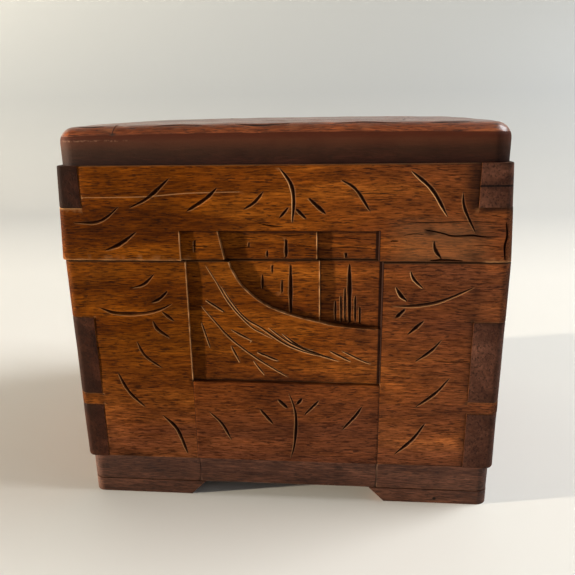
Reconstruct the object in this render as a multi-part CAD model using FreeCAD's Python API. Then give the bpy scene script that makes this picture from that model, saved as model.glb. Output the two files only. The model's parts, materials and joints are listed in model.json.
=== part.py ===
import FreeCAD, Part
import math
import os
from FreeCAD import Vector as V

os.makedirs("parts", exist_ok=True)

# Carved jewelry box, millimetres, +Z up, front face towards -Y, origin under
# the middle of the footprint.

# ---- overall ----
D = 125.0  # depth
YF, YB = -D / 2, D / 2  # front and back faces
BX0, BX1 = -74.55, 75.45  # body, outer side faces
LX0, LX1 = -75.45, 75.45  # lid, outer side faces at its lower edge
LID_BATTER = 1.8  # each lid side leans in by this over its height
XI0, XI1 = -65.9, 64.5  # inner faces of the side boards
LXI1 = 63.3  # the lid's right board is a little thicker
T_FRONT, T_BACK = 10.0, 10.0
YI0, YI1 = YF + T_FRONT, YB - T_BACK  # inner faces of front and back boards

# ---- levels ----
Z_FOOT = 5.5  # top of the feet
Z_PLINTH = 16.4  # top of the plinth
Z_BODY = 91.9  # top of the body
GAP = 0.3  # between lid and body
Z_LID = Z_BODY + GAP
Z_FRAME = 123.8  # top of the lid frame
Z_TOP = 137.0  # top of the top board

# ---- finger joints ----
BODY_SIDE_FINGERS = [(Z_PLINTH, 37.7), (42.3, 71.5)]
BODY_END_FINGERS = [(37.7, 42.3), (71.5, Z_BODY)]
LID_SIDE_FINGERS = [(110.0, Z_FRAME)]
LID_END_FINGERS = [(Z_LID, 110.0)]
CORNER_R = 3.0

# ---- sunk carved panel ----
PANEL_X0, PANEL_X1 = -31.9, 34.2
PANEL_DEPTH = 2.0
PANEL_Z0 = 48.0
LID_PANEL_X0, LID_PANEL_X1, LID_PANEL_Z1 = -33.4, 32.8, 102.4

# ---- drawer ----
SLIP = 0.3  # gap round the drawer front
DRAWER_WALL, DRAWER_BOTTOM_T = 4.0, 3.0
DRAWER_Y1 = 46.0  # outside of the drawer back
DRAWER_SIDE_Z0, DRAWER_SIDE_Z1 = 16.8, 42.0
GUIDE_T = 5.0
BOTTOM_T = 4.0
FLOOR_Z0, FLOOR_Z1 = 49.0, 52.5

# ---- plinth and feet ----
INSET, SIDE_INSET = 1.6, 0.8  # plinth behind the body faces, front and back, and sides
PLINTH_T = 8.0
SEAM_X0, SEAM_X1 = -31.7, 34.0  # ends of the fixed front plinth pieces
FOOT_W = 9.5  # width of each foot's arms
FOOT_REACH_L, FOOT_REACH_R = -35.5, 37.0  # inner ends of the front feet, at the floor
FOOT_SLANT = 5.5
FOOT_SIDE_REACH = 34.0  # length of the arms along the sides

# ---- hinges ----
HINGE_X = (-42.0, 42.0)
HINGE_L = 24.0
LEAF_T = 1.0
KNUCKLE_R, PIN_R = 1.75, 0.85
AXIS_Y, AXIS_Z = YB - 2.3, Z_BODY + GAP / 2
LEAF_Y0 = AXIS_Y - 7.0
STOP_DEG = 48.5  # slope of each back chamfer, which together stop the lid
SCREW_R, SCREW_HEAD_R, SCREW_L = 0.8, 1.5, 7.0
SCREW_Y = AXIS_Y - 4.2

FELT_T = 1.2


def box(x0, x1, y0, y1, z0, z1):
    return Part.makeBox(x1 - x0, y1 - y0, z1 - z0, V(x0, y0, z0))


def rrect(x0, x1, y0, y1, r, z):
    """A rectangle with round corners, as a closed wire at height z."""
    c = math.sqrt(0.5) * r
    edges = [
        Part.makeLine(V(x0 + r, y0, z), V(x1 - r, y0, z)),
        Part.Arc(V(x1 - r, y0, z), V(x1 - r + c, y0 + r - c, z), V(x1, y0 + r, z)).toShape(),
        Part.makeLine(V(x1, y0 + r, z), V(x1, y1 - r, z)),
        Part.Arc(V(x1, y1 - r, z), V(x1 - r + c, y1 - r + c, z), V(x1 - r, y1, z)).toShape(),
        Part.makeLine(V(x1 - r, y1, z), V(x0 + r, y1, z)),
        Part.Arc(V(x0 + r, y1, z), V(x0 + r - c, y1 - r + c, z), V(x0, y1 - r, z)).toShape(),
        Part.makeLine(V(x0, y1 - r, z), V(x0, y0 + r, z)),
        Part.Arc(V(x0, y0 + r, z), V(x0 + r - c, y0 + r - c, z), V(x0 + r, y0, z)).toShape(),
    ]
    return Part.Wire(edges)


def slab(x0, x1, y0, y1, r, z0, z1):
    return Part.Face(rrect(x0, x1, y0, y1, r, z0)).extrude(V(0, 0, z1 - z0))


def prism(points, length_vector):
    wire = Part.makePolygon([V(*p) for p in points] + [V(*points[0])])
    return Part.Face(wire).extrude(V(*length_vector))


def cyl(r, length, at, way):
    return Part.makeCylinder(r, length, V(*at), V(*way))


def cut(shape, *tools):
    for t in tools:
        shape = shape.cut(t)
    return shape


def save(name, shape):
    """One node: a solid, or a group of separate solids."""
    shape = shape.removeSplitter()
    solids = shape.Solids
    out = solids[0] if len(solids) == 1 else Part.makeCompound(solids)
    assert solids and all(s.isValid() for s in solids), name
    out.exportStep("parts/%s.step" % name)


# ---------------------------------------------------------------- envelopes
body_env = slab(BX0, BX1, YF, YB, CORNER_R, Z_PLINTH, Z_BODY)
lid_env = Part.makeLoft(
    [
        rrect(LX0, LX1, YF, YB, CORNER_R, Z_LID),
        rrect(LX0 + LID_BATTER, LX1 - LID_BATTER, YF, YB, CORNER_R, Z_FRAME),
    ],
    True,
    True,
)
plinth_env = slab(BX0 + SIDE_INSET, BX1 - SIDE_INSET, YF + INSET, YB - INSET, 4.0, 0.0, Z_PLINTH)

# Chamfers along the back edges. They meet when the lid is open and stop it.
reach = YB + 1.0 - AXIS_Y
drop = reach * math.tan(math.radians(STOP_DEG))
body_chamfer = prism(
    [(-90, AXIS_Y, AXIS_Z), (-90, YB + 1, AXIS_Z), (-90, YB + 1, AXIS_Z - drop)], (180, 0, 0)
)
lid_chamfer = prism(
    [(-90, AXIS_Y, AXIS_Z), (-90, YB + 1, AXIS_Z), (-90, YB + 1, AXIS_Z + drop)], (180, 0, 0)
)


# ------------------------------------------------------------------- hinges
def screw(x, z, way):
    """Countersunk wood screw, head at z, going along way (+1 up, -1 down)."""
    head = Part.makeCone(SCREW_HEAD_R, SCREW_R, 0.8, V(x, SCREW_Y, z), V(0, 0, way))
    shank = cyl(SCREW_R, SCREW_L - 1.6, (x, SCREW_Y, z + way * 0.8), (0, 0, way))
    tip = Part.makeCone(SCREW_R, 0.15, 0.8 + 0.8, V(x, SCREW_Y, z + way * (SCREW_L - 0.8)), V(0, 0, way))
    return head.fuse(shank).fuse(tip).removeSplitter()


body_screws, lid_screws = [], []
body_mortises, lid_mortises, reliefs = [], [], []
half = HINGE_L / 2
for side, hx in zip(("left", "right"), HINGE_X):
    outer = [(hx - half, hx - 4.2), (hx + 4.2, hx + half)]
    inner = (hx - 3.9, hx + 3.9)
    body_plate = box(hx - half, hx + half, LEAF_Y0, AXIS_Y, Z_BODY - LEAF_T, Z_BODY)
    lid_plate = box(hx - half, hx + half, LEAF_Y0, AXIS_Y, Z_LID, Z_LID + LEAF_T)
    body_mortises.append(body_plate.copy())
    lid_mortises.append(lid_plate.copy())
    reliefs.append(cyl(KNUCKLE_R + 0.4, HINGE_L + 0.8, (hx - half - 0.4, AXIS_Y, AXIS_Z), (1, 0, 0)))
    clear = KNUCKLE_R + 0.25
    body_leaf = body_plate.cut(cyl(clear, 8.1, (hx - 4.05, AXIS_Y, AXIS_Z), (1, 0, 0)))
    lid_leaf = lid_plate
    for a, b in ((hx - half - 0.2, hx - 4.05), (hx + 4.05, hx + half + 0.2)):
        lid_leaf = lid_leaf.cut(cyl(clear, b - a, (a, AXIS_Y, AXIS_Z), (1, 0, 0)))
    for a, b in outer:
        body_leaf = body_leaf.fuse(cyl(KNUCKLE_R, b - a, (a, AXIS_Y, AXIS_Z), (1, 0, 0)))
    lid_leaf = lid_leaf.fuse(cyl(KNUCKLE_R, inner[1] - inner[0], (inner[0], AXIS_Y, AXIS_Z), (1, 0, 0)))
    body_leaf = body_leaf.cut(cyl(PIN_R + 0.01, 60, (hx - 30, AXIS_Y, AXIS_Z), (1, 0, 0)))
    lid_leaf = lid_leaf.cut(cyl(PIN_R + 0.05, 60, (hx - 30, AXIS_Y, AXIS_Z), (1, 0, 0)))
    for sx in (hx - 7.5, hx + 7.5):
        sb, sl = screw(sx, Z_BODY, -1), screw(sx, Z_LID, 1)
        body_screws.append(sb)
        lid_screws.append(sl)
        body_leaf, lid_leaf = body_leaf.cut(sb), lid_leaf.cut(sl)
    save("hinge_leaf_body_" + side, body_leaf)
    save("hinge_leaf_lid_" + side, lid_leaf)
    save("hinge_pin_" + side, cyl(PIN_R, HINGE_L, (hx - half, AXIS_Y, AXIS_Z), (1, 0, 0)))
save("body_hinge_screws", Part.makeCompound(body_screws))
save("lid_hinge_screws", Part.makeCompound(lid_screws))


# --------------------------------------------------------------- body boards
def end_board(x0, x1, y0, y1, z0, z1, side_fingers, xi1=XI1):
    """A front or back board: the side boards' fingers are cut out of its ends."""
    b = box(x0, x1, y0, y1, z0, z1)
    for a, c in side_fingers:
        b = cut(b, box(x0 - 1, XI0, y0 - 1, y1 + 1, a, c), box(xi1, x1 + 1, y0 - 1, y1 + 1, a, c))
    return b


def side_board(x0, x1, z0, z1, end_fingers):
    b = box(x0, x1, YF, YB, z0, z1)
    for a, c in end_fingers:
        b = cut(b, box(x0 - 1, x1 + 1, YF - 1, YI0, a, c), box(x0 - 1, x1 + 1, YI1, YB + 1, a, c))
    return b


front = end_board(BX0, BX1, YF, YI0, Z_PLINTH, Z_BODY, BODY_SIDE_FINGERS)
front = front.cut(box(PANEL_X0, PANEL_X1, YF - 1, YF + PANEL_DEPTH, PANEL_Z0, Z_BODY + 1))
front = front.cut(box(PANEL_X0, PANEL_X1, YF - 1, YI0 + 1, Z_PLINTH - 1, PANEL_Z0))
save("front_board", front.common(body_env))

back = end_board(BX0, BX1, YI1, YB, Z_PLINTH, Z_BODY, BODY_SIDE_FINGERS)
back = cut(back.common(body_env), body_chamfer, *body_mortises, *reliefs, *body_screws)
save("back_board", back)

for name, a, b in (("left_board", BX0, XI0), ("right_board", XI1, BX1)):
    s = side_board(a, b, Z_PLINTH, Z_BODY, BODY_END_FINGERS)
    save(name, s.common(body_env).cut(body_chamfer))

save("compartment_floor", box(XI0, XI1, YI0, YI1, FLOOR_Z0, FLOOR_Z1))
save(
    "drawer_guide_left",
    box(PANEL_X0 - GUIDE_T, PANEL_X0, YI0, YI1, Z_PLINTH, FLOOR_Z0),
)
save(
    "drawer_guide_right",
    box(PANEL_X1, PANEL_X1 + GUIDE_T, YI0, YI1, Z_PLINTH, FLOOR_Z0),
)
save("drawer_stop", box(-14.0, 16.0, DRAWER_Y1 + 0.4, YI1, Z_PLINTH, Z_PLINTH + 8.0))

# ------------------------------------------------------------ plinth and feet
PX0, PX1, PY0, PY1 = BX0 + SIDE_INSET, BX1 - SIDE_INSET, YF + INSET, YB - INSET

BRAD_AT = [
    (x, y)
    for y in (PY0 + 5.5, PY1 - 5.5)
    for x in (-66.0, -45.0, 46.0, 67.0)
]
brads = [
    cyl(0.6, 11.5, (x, y, 0.8), (0, 0, 1)).fuse(cyl(1.0, 0.8, (x, y, 0.8), (0, 0, 1))).removeSplitter()
    for x, y in BRAD_AT
]
holes = brads + [cyl(1.0, 1.0, (x, y, -0.2), (0, 0, 1)) for x, y in BRAD_AT]

plinth = {
    "plinth_front_left": box(PX0, SEAM_X0, PY0, PY0 + PLINTH_T, Z_FOOT, Z_PLINTH),
    "plinth_front_right": box(SEAM_X1, PX1, PY0, PY0 + PLINTH_T, Z_FOOT, Z_PLINTH),
    "plinth_back": box(PX0, PX1, PY1 - PLINTH_T, PY1, Z_FOOT, Z_PLINTH),
    "plinth_left": box(PX0, PX0 + PLINTH_T, PY0 + PLINTH_T, PY1 - PLINTH_T, Z_FOOT, Z_PLINTH),
    "plinth_right": box(PX1 - PLINTH_T, PX1, PY0 + PLINTH_T, PY1 - PLINTH_T, Z_FOOT, Z_PLINTH),
}
for name, s in plinth.items():
    save(name, cut(s.common(plinth_env), *holes))
save(
    "bottom_board",
    box(PX0 + PLINTH_T, PX1 - PLINTH_T, PY0 + PLINTH_T + 0.4, PY1 - PLINTH_T, Z_PLINTH - BOTTOM_T, Z_PLINTH),
)


def foot(front_side, left_side):
    """A corner foot with two arms whose free ends are cut at a slant."""
    ys, xs = (1 if front_side else -1), (1 if left_side else -1)
    cy, cx = (PY0 if front_side else PY1), (PX0 if left_side else PX1)
    end = FOOT_REACH_L if left_side else FOOT_REACH_R
    across = prism(
        [(cx, cy, 0), (end, cy, 0), (end + xs * FOOT_SLANT, cy, Z_FOOT), (cx, cy, Z_FOOT)],
        (0, ys * FOOT_W, 0),
    )
    ey = cy + ys * FOOT_SIDE_REACH
    along = prism(
        [(cx, cy, 0), (cx, ey, 0), (cx, ey + ys * FOOT_SLANT, Z_FOOT), (cx, cy, Z_FOOT)],
        (xs * FOOT_W, 0, 0),
    )
    f = across.fuse(along).removeSplitter().common(plinth_env)
    return cut(f, *holes)


save("foot_front_left", foot(True, True))
save("foot_front_right", foot(True, False))
save("foot_rear_left", foot(False, True))
save("foot_rear_right", foot(False, False))
save("foot_brads", Part.makeCompound(brads))

# ---------------------------------------------------------------------- drawer
DX0, DX1 = PANEL_X0 + SLIP, PANEL_X1 - SLIP
save("drawer_front", box(DX0, DX1, YF, YI0, Z_PLINTH, PANEL_Z0 - SLIP))
save("drawer_plinth_strip", box(SEAM_X0 + SLIP, SEAM_X1 - SLIP, PY0, PY0 + PLINTH_T, Z_FOOT, Z_PLINTH))
SX0, SX1 = PANEL_X0 + 0.4, PANEL_X1 - 0.4
save("drawer_left_side", box(SX0, SX0 + DRAWER_WALL, YI0, DRAWER_Y1, DRAWER_SIDE_Z0, DRAWER_SIDE_Z1))
save("drawer_right_side", box(SX1 - DRAWER_WALL, SX1, YI0, DRAWER_Y1, DRAWER_SIDE_Z0, DRAWER_SIDE_Z1))
save(
    "drawer_back",
    box(SX0 + DRAWER_WALL, SX1 - DRAWER_WALL, DRAWER_Y1 - DRAWER_WALL, DRAWER_Y1, DRAWER_SIDE_Z0, DRAWER_SIDE_Z1),
)
save(
    "drawer_bottom",
    box(SX0 + DRAWER_WALL, SX1 - DRAWER_WALL, YI0, DRAWER_Y1 - DRAWER_WALL, DRAWER_SIDE_Z0, DRAWER_SIDE_Z0 + DRAWER_BOTTOM_T),
)
DB = DRAWER_SIDE_Z0 + DRAWER_BOTTOM_T
save(
    "drawer_felt",
    box(SX0 + DRAWER_WALL + 0.5, SX1 - DRAWER_WALL - 0.5, YI0 + 0.5, DRAWER_Y1 - DRAWER_WALL - 0.5, DB, DB + FELT_T),
)
save("floor_felt", box(XI0 + 0.6, XI1 - 0.6, YI0 + 0.6, YI1 - 0.6, FLOOR_Z1, FLOOR_Z1 + FELT_T))

# ------------------------------------------------------------------------- lid
lf = end_board(LX0, LX1, YF, YI0, Z_LID, Z_FRAME, LID_SIDE_FINGERS, LXI1)
lf = lf.cut(box(LID_PANEL_X0, LID_PANEL_X1, YF - 1, YF + PANEL_DEPTH, Z_LID - 1, LID_PANEL_Z1))
save("lid_front_board", lf.common(lid_env))
lb = end_board(LX0, LX1, YI1, YB, Z_LID, Z_FRAME, LID_SIDE_FINGERS, LXI1)
save("lid_back_board", cut(lb.common(lid_env), lid_chamfer, *lid_mortises, *reliefs, *lid_screws))
for name, a, b in (("lid_left_board", LX0, XI0), ("lid_right_board", LXI1, LX1)):
    s = side_board(a, b, Z_LID, Z_FRAME, LID_END_FINGERS)
    save(name, s.common(lid_env).cut(lid_chamfer))

TOP_IN = 2.5
top = slab(LX0 + TOP_IN, LX1 - TOP_IN, YF + 0.8, YB - 0.8, 6.0, Z_FRAME, Z_TOP)
rim = [e for e in top.Edges if all(abs(v.Z - Z_TOP) < 1e-6 for v in e.Vertexes)]
top = top.makeFillet(5.0, rim)
save("lid_top_board", top)
save("lid_felt", box(XI0 + 0.6, LXI1 - 0.6, YI0 + 0.6, YI1 - 0.6, Z_FRAME - FELT_T, Z_FRAME))
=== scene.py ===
import json
import math

import bpy
import numpy as np
from mathutils import Matrix, Vector
from mathutils.geometry import delaunay_2d_cdt


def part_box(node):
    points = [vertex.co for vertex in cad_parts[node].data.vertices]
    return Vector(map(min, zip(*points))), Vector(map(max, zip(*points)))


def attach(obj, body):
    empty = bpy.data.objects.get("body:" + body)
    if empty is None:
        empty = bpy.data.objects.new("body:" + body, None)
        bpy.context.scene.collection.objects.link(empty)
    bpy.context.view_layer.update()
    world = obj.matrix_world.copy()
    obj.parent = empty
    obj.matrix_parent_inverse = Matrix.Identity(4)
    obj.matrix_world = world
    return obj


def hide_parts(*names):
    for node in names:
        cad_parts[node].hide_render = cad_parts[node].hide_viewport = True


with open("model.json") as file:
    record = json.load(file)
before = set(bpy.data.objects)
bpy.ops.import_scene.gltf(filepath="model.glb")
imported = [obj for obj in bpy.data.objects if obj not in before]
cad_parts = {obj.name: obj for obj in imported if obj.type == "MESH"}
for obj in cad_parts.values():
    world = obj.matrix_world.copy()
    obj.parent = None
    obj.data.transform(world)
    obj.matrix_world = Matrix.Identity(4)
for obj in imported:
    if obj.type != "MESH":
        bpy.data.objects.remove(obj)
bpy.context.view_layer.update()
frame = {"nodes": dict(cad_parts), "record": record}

NODES = frame["nodes"]
BODY_OF = {n: b for b, ns in frame["record"]["behaviour"]["bodies"].items() for n in ns}
RNG = np.random.default_rng(7)

# ------------------------------------------------------------------ dimensions
# Millimetres, in the CAD frame. The outer boards are carved versions of the CAD boards.
YF, YB = -62.5, 62.5
YI0, YI1 = -52.5, 52.5
BX0, BX1 = -74.55, 75.45
LX0, LX1 = -75.45, 75.45
BATTER = 1.8
XI0, XI1, LXI1 = -65.9, 64.5, 63.3
Z_FOOT, Z_PLINTH, Z_BODY, Z_LID, Z_FRAME, Z_TOP = 5.5, 16.4, 91.9, 92.2, 123.8, 137.0
PX0, PX1, PY0, PY1 = BX0 + 0.8, BX1 - 0.8, YF + 1.6, YB - 1.6
PANEL_X0, PANEL_X1, PANEL_Z0 = -31.9, 34.2, 48.0
LP_X0, LP_X1, LP_Z1 = -33.4, 32.8, 102.4
CORNER = 3.0
HILL, SKY_L, SKY_R = 0.95, 2.55, 3.55  # depth of the three levels of the sunk panel

# Gouge strokes as points on the front face, (x, z).
LID_STROKES = [
    [(-69.8, 105.2), (-61.8, 105.2), (-57.6, 106.9), (-52.9, 110.7)],
    [(-49.9, 109.9), (-42.9, 113.4), (-34.9, 120.1)],
    [(-30.5, 108.8), (-23.6, 113.1), (-19.6, 116.8)],
    [(-11.5, 109.5), (-7.9, 111.7), (-4.6, 115.4)],
    [(0.4, 122.9), (4.0, 118.0), (5.0, 112.7), (4.4, 104.9)],
    [(0.1, 106.5), (3.4, 110.3)],
    [(5.6, 109.8), (9.1, 106.3)],
    [(9.6, 113.3), (15.5, 107.9)],
    [(19.9, 119.0), (24.9, 115.8), (29.7, 108.4)],
    [(41.7, 121.7), (48.6, 115.7), (54.0, 106.8)],
    [(58.1, 115.2), (58.9, 110.0), (62.9, 101.8)],
    [(50.0, 99.6), (50.5, 96.6), (52.8, 93.2)],
    [(-59.6, 95.5), (-53.9, 97.8), (-47.8, 102.1)],
]
BODY_STROKES = [
    [(-51.4, 82.5), (-46.9, 83.8), (-42.8, 87.6)],
    [(-44.9, 77.2), (-41.7, 78.7), (-38.6, 81.6)],
    [(-64.2, 75.5), (-58.0, 73.4), (-49.1, 73.2), (-42.6, 74.5), (-37.1, 77.1)],
    [(-41.4, 74.2), (-36.9, 70.4)],
    [(-44.8, 70.8), (-43.2, 67.5), (-38.9, 64.3)],
    [(-51.3, 63.0), (-48.5, 57.3), (-42.4, 52.6)],
    [(-59.3, 50.8), (-55.7, 43.1), (-49.9, 36.8)],
    [(-44.2, 34.1), (-38.9, 28.4), (-35.5, 18.0)],
    [(58.1, 51.6), (53.4, 45.4), (46.3, 39.5)],
    [(50.6, 33.9), (46.2, 26.9), (39.9, 20.5)],
    [(54.6, 65.6), (51.3, 61.4), (45.8, 57.0)],
    [(48.4, 72.2), (42.7, 66.7)],
    [(42.0, 76.2), (38.6, 72.7)],
    [(37.0, 77.1), (44.6, 77.2), (53.2, 78.9), (64.4, 84.1)],
    [(38.2, 84.0), (40.4, 80.6), (42.5, 78.8)],
    [(42.9, 89.5), (44.2, 86.5), (47.5, 83.1)],
]
DRAWER_STROKES = [
    [(-26.8, 36.1), (-22.1, 31.2), (-18.8, 24.3)],
    [(-8.2, 37.7), (-3.2, 31.4)],
    [(-1.7, 41.8), (2.1, 38.0)],
    [(2.3, 44.2), (3.8, 40.3), (4.8, 35.5), (4.8, 29.6), (4.0, 22.4), (2.6, 17.4)],
    [(7.3, 42.2), (5.0, 39.4)],
    [(13.3, 41.6), (7.8, 35.5)],
    [(28.5, 40.0), (26.0, 35.8), (21.3, 30.0)],
]
HILL_STROKES = [
    [(-25.3, 90.7), (-21.5, 84.1), (-17.4, 76.7), (-11.0, 69.3), (-6.7, 66.4), (-2.6, 64.1)],
    [(-20.4, 83.6), (-16.3, 76.7), (-12.1, 71.6), (-6.7, 68.2), (1.6, 62.4), (8.8, 59.5), (14.9, 57.9)],
    [(-4.4, 68.5), (1.1, 64.2), (7.7, 60.7), (20.4, 56.2)],
    [(0.0, 66.5), (6.0, 61.9), (11.0, 60.2)],
    [(16.5, 60.3), (24.2, 56.3)],
    [(20.6, 60.4), (28.1, 56.7), (31.4, 55.5)],
    [(-27.7, 76.3), (-23.3, 70.8), (-18.5, 65.0), (-12.5, 59.7), (-5.9, 55.0), (2.5, 49.7)],
    [(-26.0, 78.3), (-19.2, 73.8)],
    [(-27.8, 70.2), (-25.0, 60.1)],
    [(-17.8, 61.7), (-14.7, 55.1)],
    [(-10.1, 56.1), (-6.0, 50.4)],
    [(-17.8, 67.7), (-10.1, 63.4)],
    [(-8.6, 59.2), (-0.8, 56.0)],
]
CONTOUR = [(-17.6, 94.0), (-17.3, 91.4), (-16.1, 88.1), (-12.5, 82.5), (-5.3, 76.6), (3.4, 73.0), (13.2, 70.5), (18.1, 69.4), (27.9, 68.4), (36.0, 68.3)]
LID_CONTOUR = [(-20.9, 103.4), (-20.6, 101.8), (-18.7, 92.0), (-18.4, 90.0)]
STEP_X, LID_STEP_X = 13.2, 12.3
UPRIGHTS = [
    ([(3.5, 90.6), (3.3, 73.2)], 1.5),
    ([(-2.7, 90.6), (-2.8, 87.2)], 0.9),
    ([(-6.1, 87.2), (-6.3, 81.5)], 0.9),
    ([(0.5, 85.5), (0.4, 80.2)], 0.9),
    ([(23.2, 90.8), (23.5, 69.3)], 1.6),
    ([(21.8, 82.5), (21.9, 70.0)], 0.9),
    ([(20.4, 79.7), (20.6, 70.0)], 0.9),
    ([(18.6, 77.9), (18.6, 70.3)], 0.9),
    ([(25.3, 79.7), (25.4, 69.7)], 0.9),
    ([(26.9, 75.8), (27.0, 69.3)], 0.9),
]
LID_UPRIGHTS = [
    ([(-28.5, 99.3), (-28.8, 94.8)], 0.9),
    ([(-10.4, 98.3), (-10.5, 96.3)], 0.8),
    ([(-4.3, 95.6), (-4.4, 92.6)], 0.9),
    ([(2.1, 99.4), (2.0, 92.6)], 1.3),
    ([(21.9, 94.6), (22.0, 92.6)], 1.2),
]


# ----------------------------------------------------------------- small maths
def smooth_line(points, step=0.7):
    """Catmull-Rom through the points, resampled at about step."""
    p = np.array(points, float)
    if len(p) > 2:
        q = np.vstack([2 * p[0] - p[1], p, 2 * p[-1] - p[-2]])
        out = []
        for i in range(len(p) - 1):
            a, b, c, d = q[i : i + 4]
            for t in np.linspace(0, 1, 9)[:-1]:
                out.append(0.5 * (2 * b + (c - a) * t + (2 * a - 5 * b + 4 * c - d) * t**2 + (3 * b - a - 3 * c + d) * t**3))
        p = np.array(out + [p[-1]])
    seg = np.r_[0, np.cumsum(np.linalg.norm(np.diff(p, axis=0), axis=1))]
    n = max(4, int(seg[-1] / step))
    at = np.linspace(0, seg[-1], n + 1)
    return np.c_[np.interp(at, seg, p[:, 0]), np.interp(at, seg, p[:, 1])]


def straight(a, b, step=1.0):
    a, b = np.array(a, float), np.array(b, float)
    n = max(1, int(np.linalg.norm(b - a) / step))
    return a + (b - a) * np.linspace(0, 1, n + 1)[:, None]


def normals_of(line):
    d = np.gradient(line, axis=0)
    d /= np.maximum(np.linalg.norm(d, axis=1), 1e-9)[:, None]
    return np.c_[-d[:, 1], d[:, 0]]


def near(points, line):
    """(distance, share of the way along, signed side) of points to a polyline."""
    best = np.full(len(points), 1e9)
    share = np.zeros(len(points))
    side = np.ones(len(points))
    for i in range(len(line) - 1):
        a, b = line[i], line[i + 1]
        ab = b - a
        t = np.clip(((points - a) @ ab) / max(ab @ ab, 1e-12), 0, 1)
        v = points - (a + t[:, None] * ab)
        d = np.hypot(v[:, 0], v[:, 1])
        m = d < best
        best[m] = d[m]
        share[m] = (i + t[m]) / (len(line) - 1)
        side[m] = np.sign(ab[0] * v[m, 1] - ab[1] * v[m, 0])
    return best, share, side


def wobble(u, v, scale, seed):
    """Smooth unevenness from -1 to 1, the same on every run."""
    r = np.random.default_rng(seed)
    out = 0
    for _ in range(5):
        a, k, ph = r.uniform(0, 2 * math.pi), r.uniform(0.5, 1.6) / scale, r.uniform(0, 6.3)
        out = out + np.sin((u * math.cos(a) + v * math.sin(a)) * k * 2 * math.pi + ph)
    return out / 5


class Stroke:
    """A gouge cut that is widest in the middle and runs out at both ends."""

    def __init__(self, points, width=1.3, depth=0.62, ends=0.6, seed=0, bright=0.3):
        self.line = smooth_line(points)
        self.width, self.depth, self.ends, self.bright = width, depth * width, ends, bright
        r = np.random.default_rng(int(abs(points[0][0] * 37 + points[0][1] * 91)) + seed)
        self.lean = r.uniform(-0.18, 0.18)
        self.phase = r.uniform(0, 6.3, 2)

    def half(self, t):
        t = np.clip(t, 0, 1)
        s = np.clip(t + self.lean * t * (1 - t), 0, 1)
        hand = 1 + 0.10 * np.sin(9 * t + self.phase[0]) + 0.06 * np.sin(23 * t + self.phase[1])
        return 0.5 * self.width * hand * np.maximum(np.sin(math.pi * s), 0.0) ** self.ends

    def lines(self):
        t = np.linspace(0, 1, len(self.line))
        n, h = normals_of(self.line), self.half(t)[:, None]
        out = [self.line]
        for k in (-1, -0.78, -0.45, 0.45, 0.78, 1):
            out.append((self.line + n * h * k)[1:-1])
        for k in (-1, 1):
            out.append((self.line + n * (h + 0.22) * k)[1:-1])
        return out

    def cut(self, p):
        """(depth, stain, wear and painted glint) at points. The groove's stain is painted lighter on the wall that
        faces the light, and that wall's edge gets a painted glint.
        """
        lo, hi = self.line.min(0) - self.width, self.line.max(0) + self.width
        m = np.all((p > lo) & (p < hi), axis=1)
        d = np.zeros(len(p)), np.zeros(len(p)), np.zeros(len(p))
        if m.any():
            dist, t, side = near(p[m], self.line)
            h = np.maximum(self.half(t), 1e-6)
            x = dist / h
            d[0][m] = np.where(x < 1, self.depth * (h / (0.5 * self.width)) * (1 - np.minimum(x, 1) ** 1.25), 0)
            n = normals_of(self.line)[np.clip((t * (len(self.line) - 1)).astype(int), 0, len(self.line) - 1)]
            # low: how far the groove wall faces the lower left, towards the window's reflection; it drives the painted
            # light below.
            low = np.clip(0.3 + 0.9 * side * (n @ np.array([-0.65, -0.76])), 0, 1)
            d[1][m] = np.clip((1.12 - x) / 0.35, 0, 1) * np.clip(h / (0.2 * self.width), 0, 1) * (1 - 0.42 * low * np.clip((x - 0.3) / 0.3, 0, 1))
            d[2][m] = self.bright * (0.15 + 1.25 * low) * np.clip(1 - np.abs(dist - h) / 0.22, 0, 1) * np.clip(h / (0.3 * self.width), 0, 1)
        return d


class Crack(Stroke):
    def __init__(self, points, width=0.35):
        super().__init__(points, width, 1.6, 0.4, bright=0.0)


class Scratch(Stroke):
    """A shallow scratch that only shows as a pale line."""

    def __init__(self, points, width=0.4):
        super().__init__(points, width, 0.12, 0.2)

    def cut(self, p):
        d, st, w = super().cut(p)
        return d, st * 0, st * 0.5


# ------------------------------------------------------------------ board maker
def enclosed(q, loop):
    """Which points lie inside a closed outline."""
    got = np.zeros(len(q), bool)
    for a, b in zip(loop, np.roll(loop, -1, axis=0)):
        if a[1] != b[1]:
            cross = (a[1] > q[:, 1]) != (b[1] > q[:, 1])
            got ^= cross & (q[:, 0] < a[0] + (q[:, 1] - a[1]) * (b[0] - a[0]) / (b[1] - a[1]))
    return got


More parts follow.
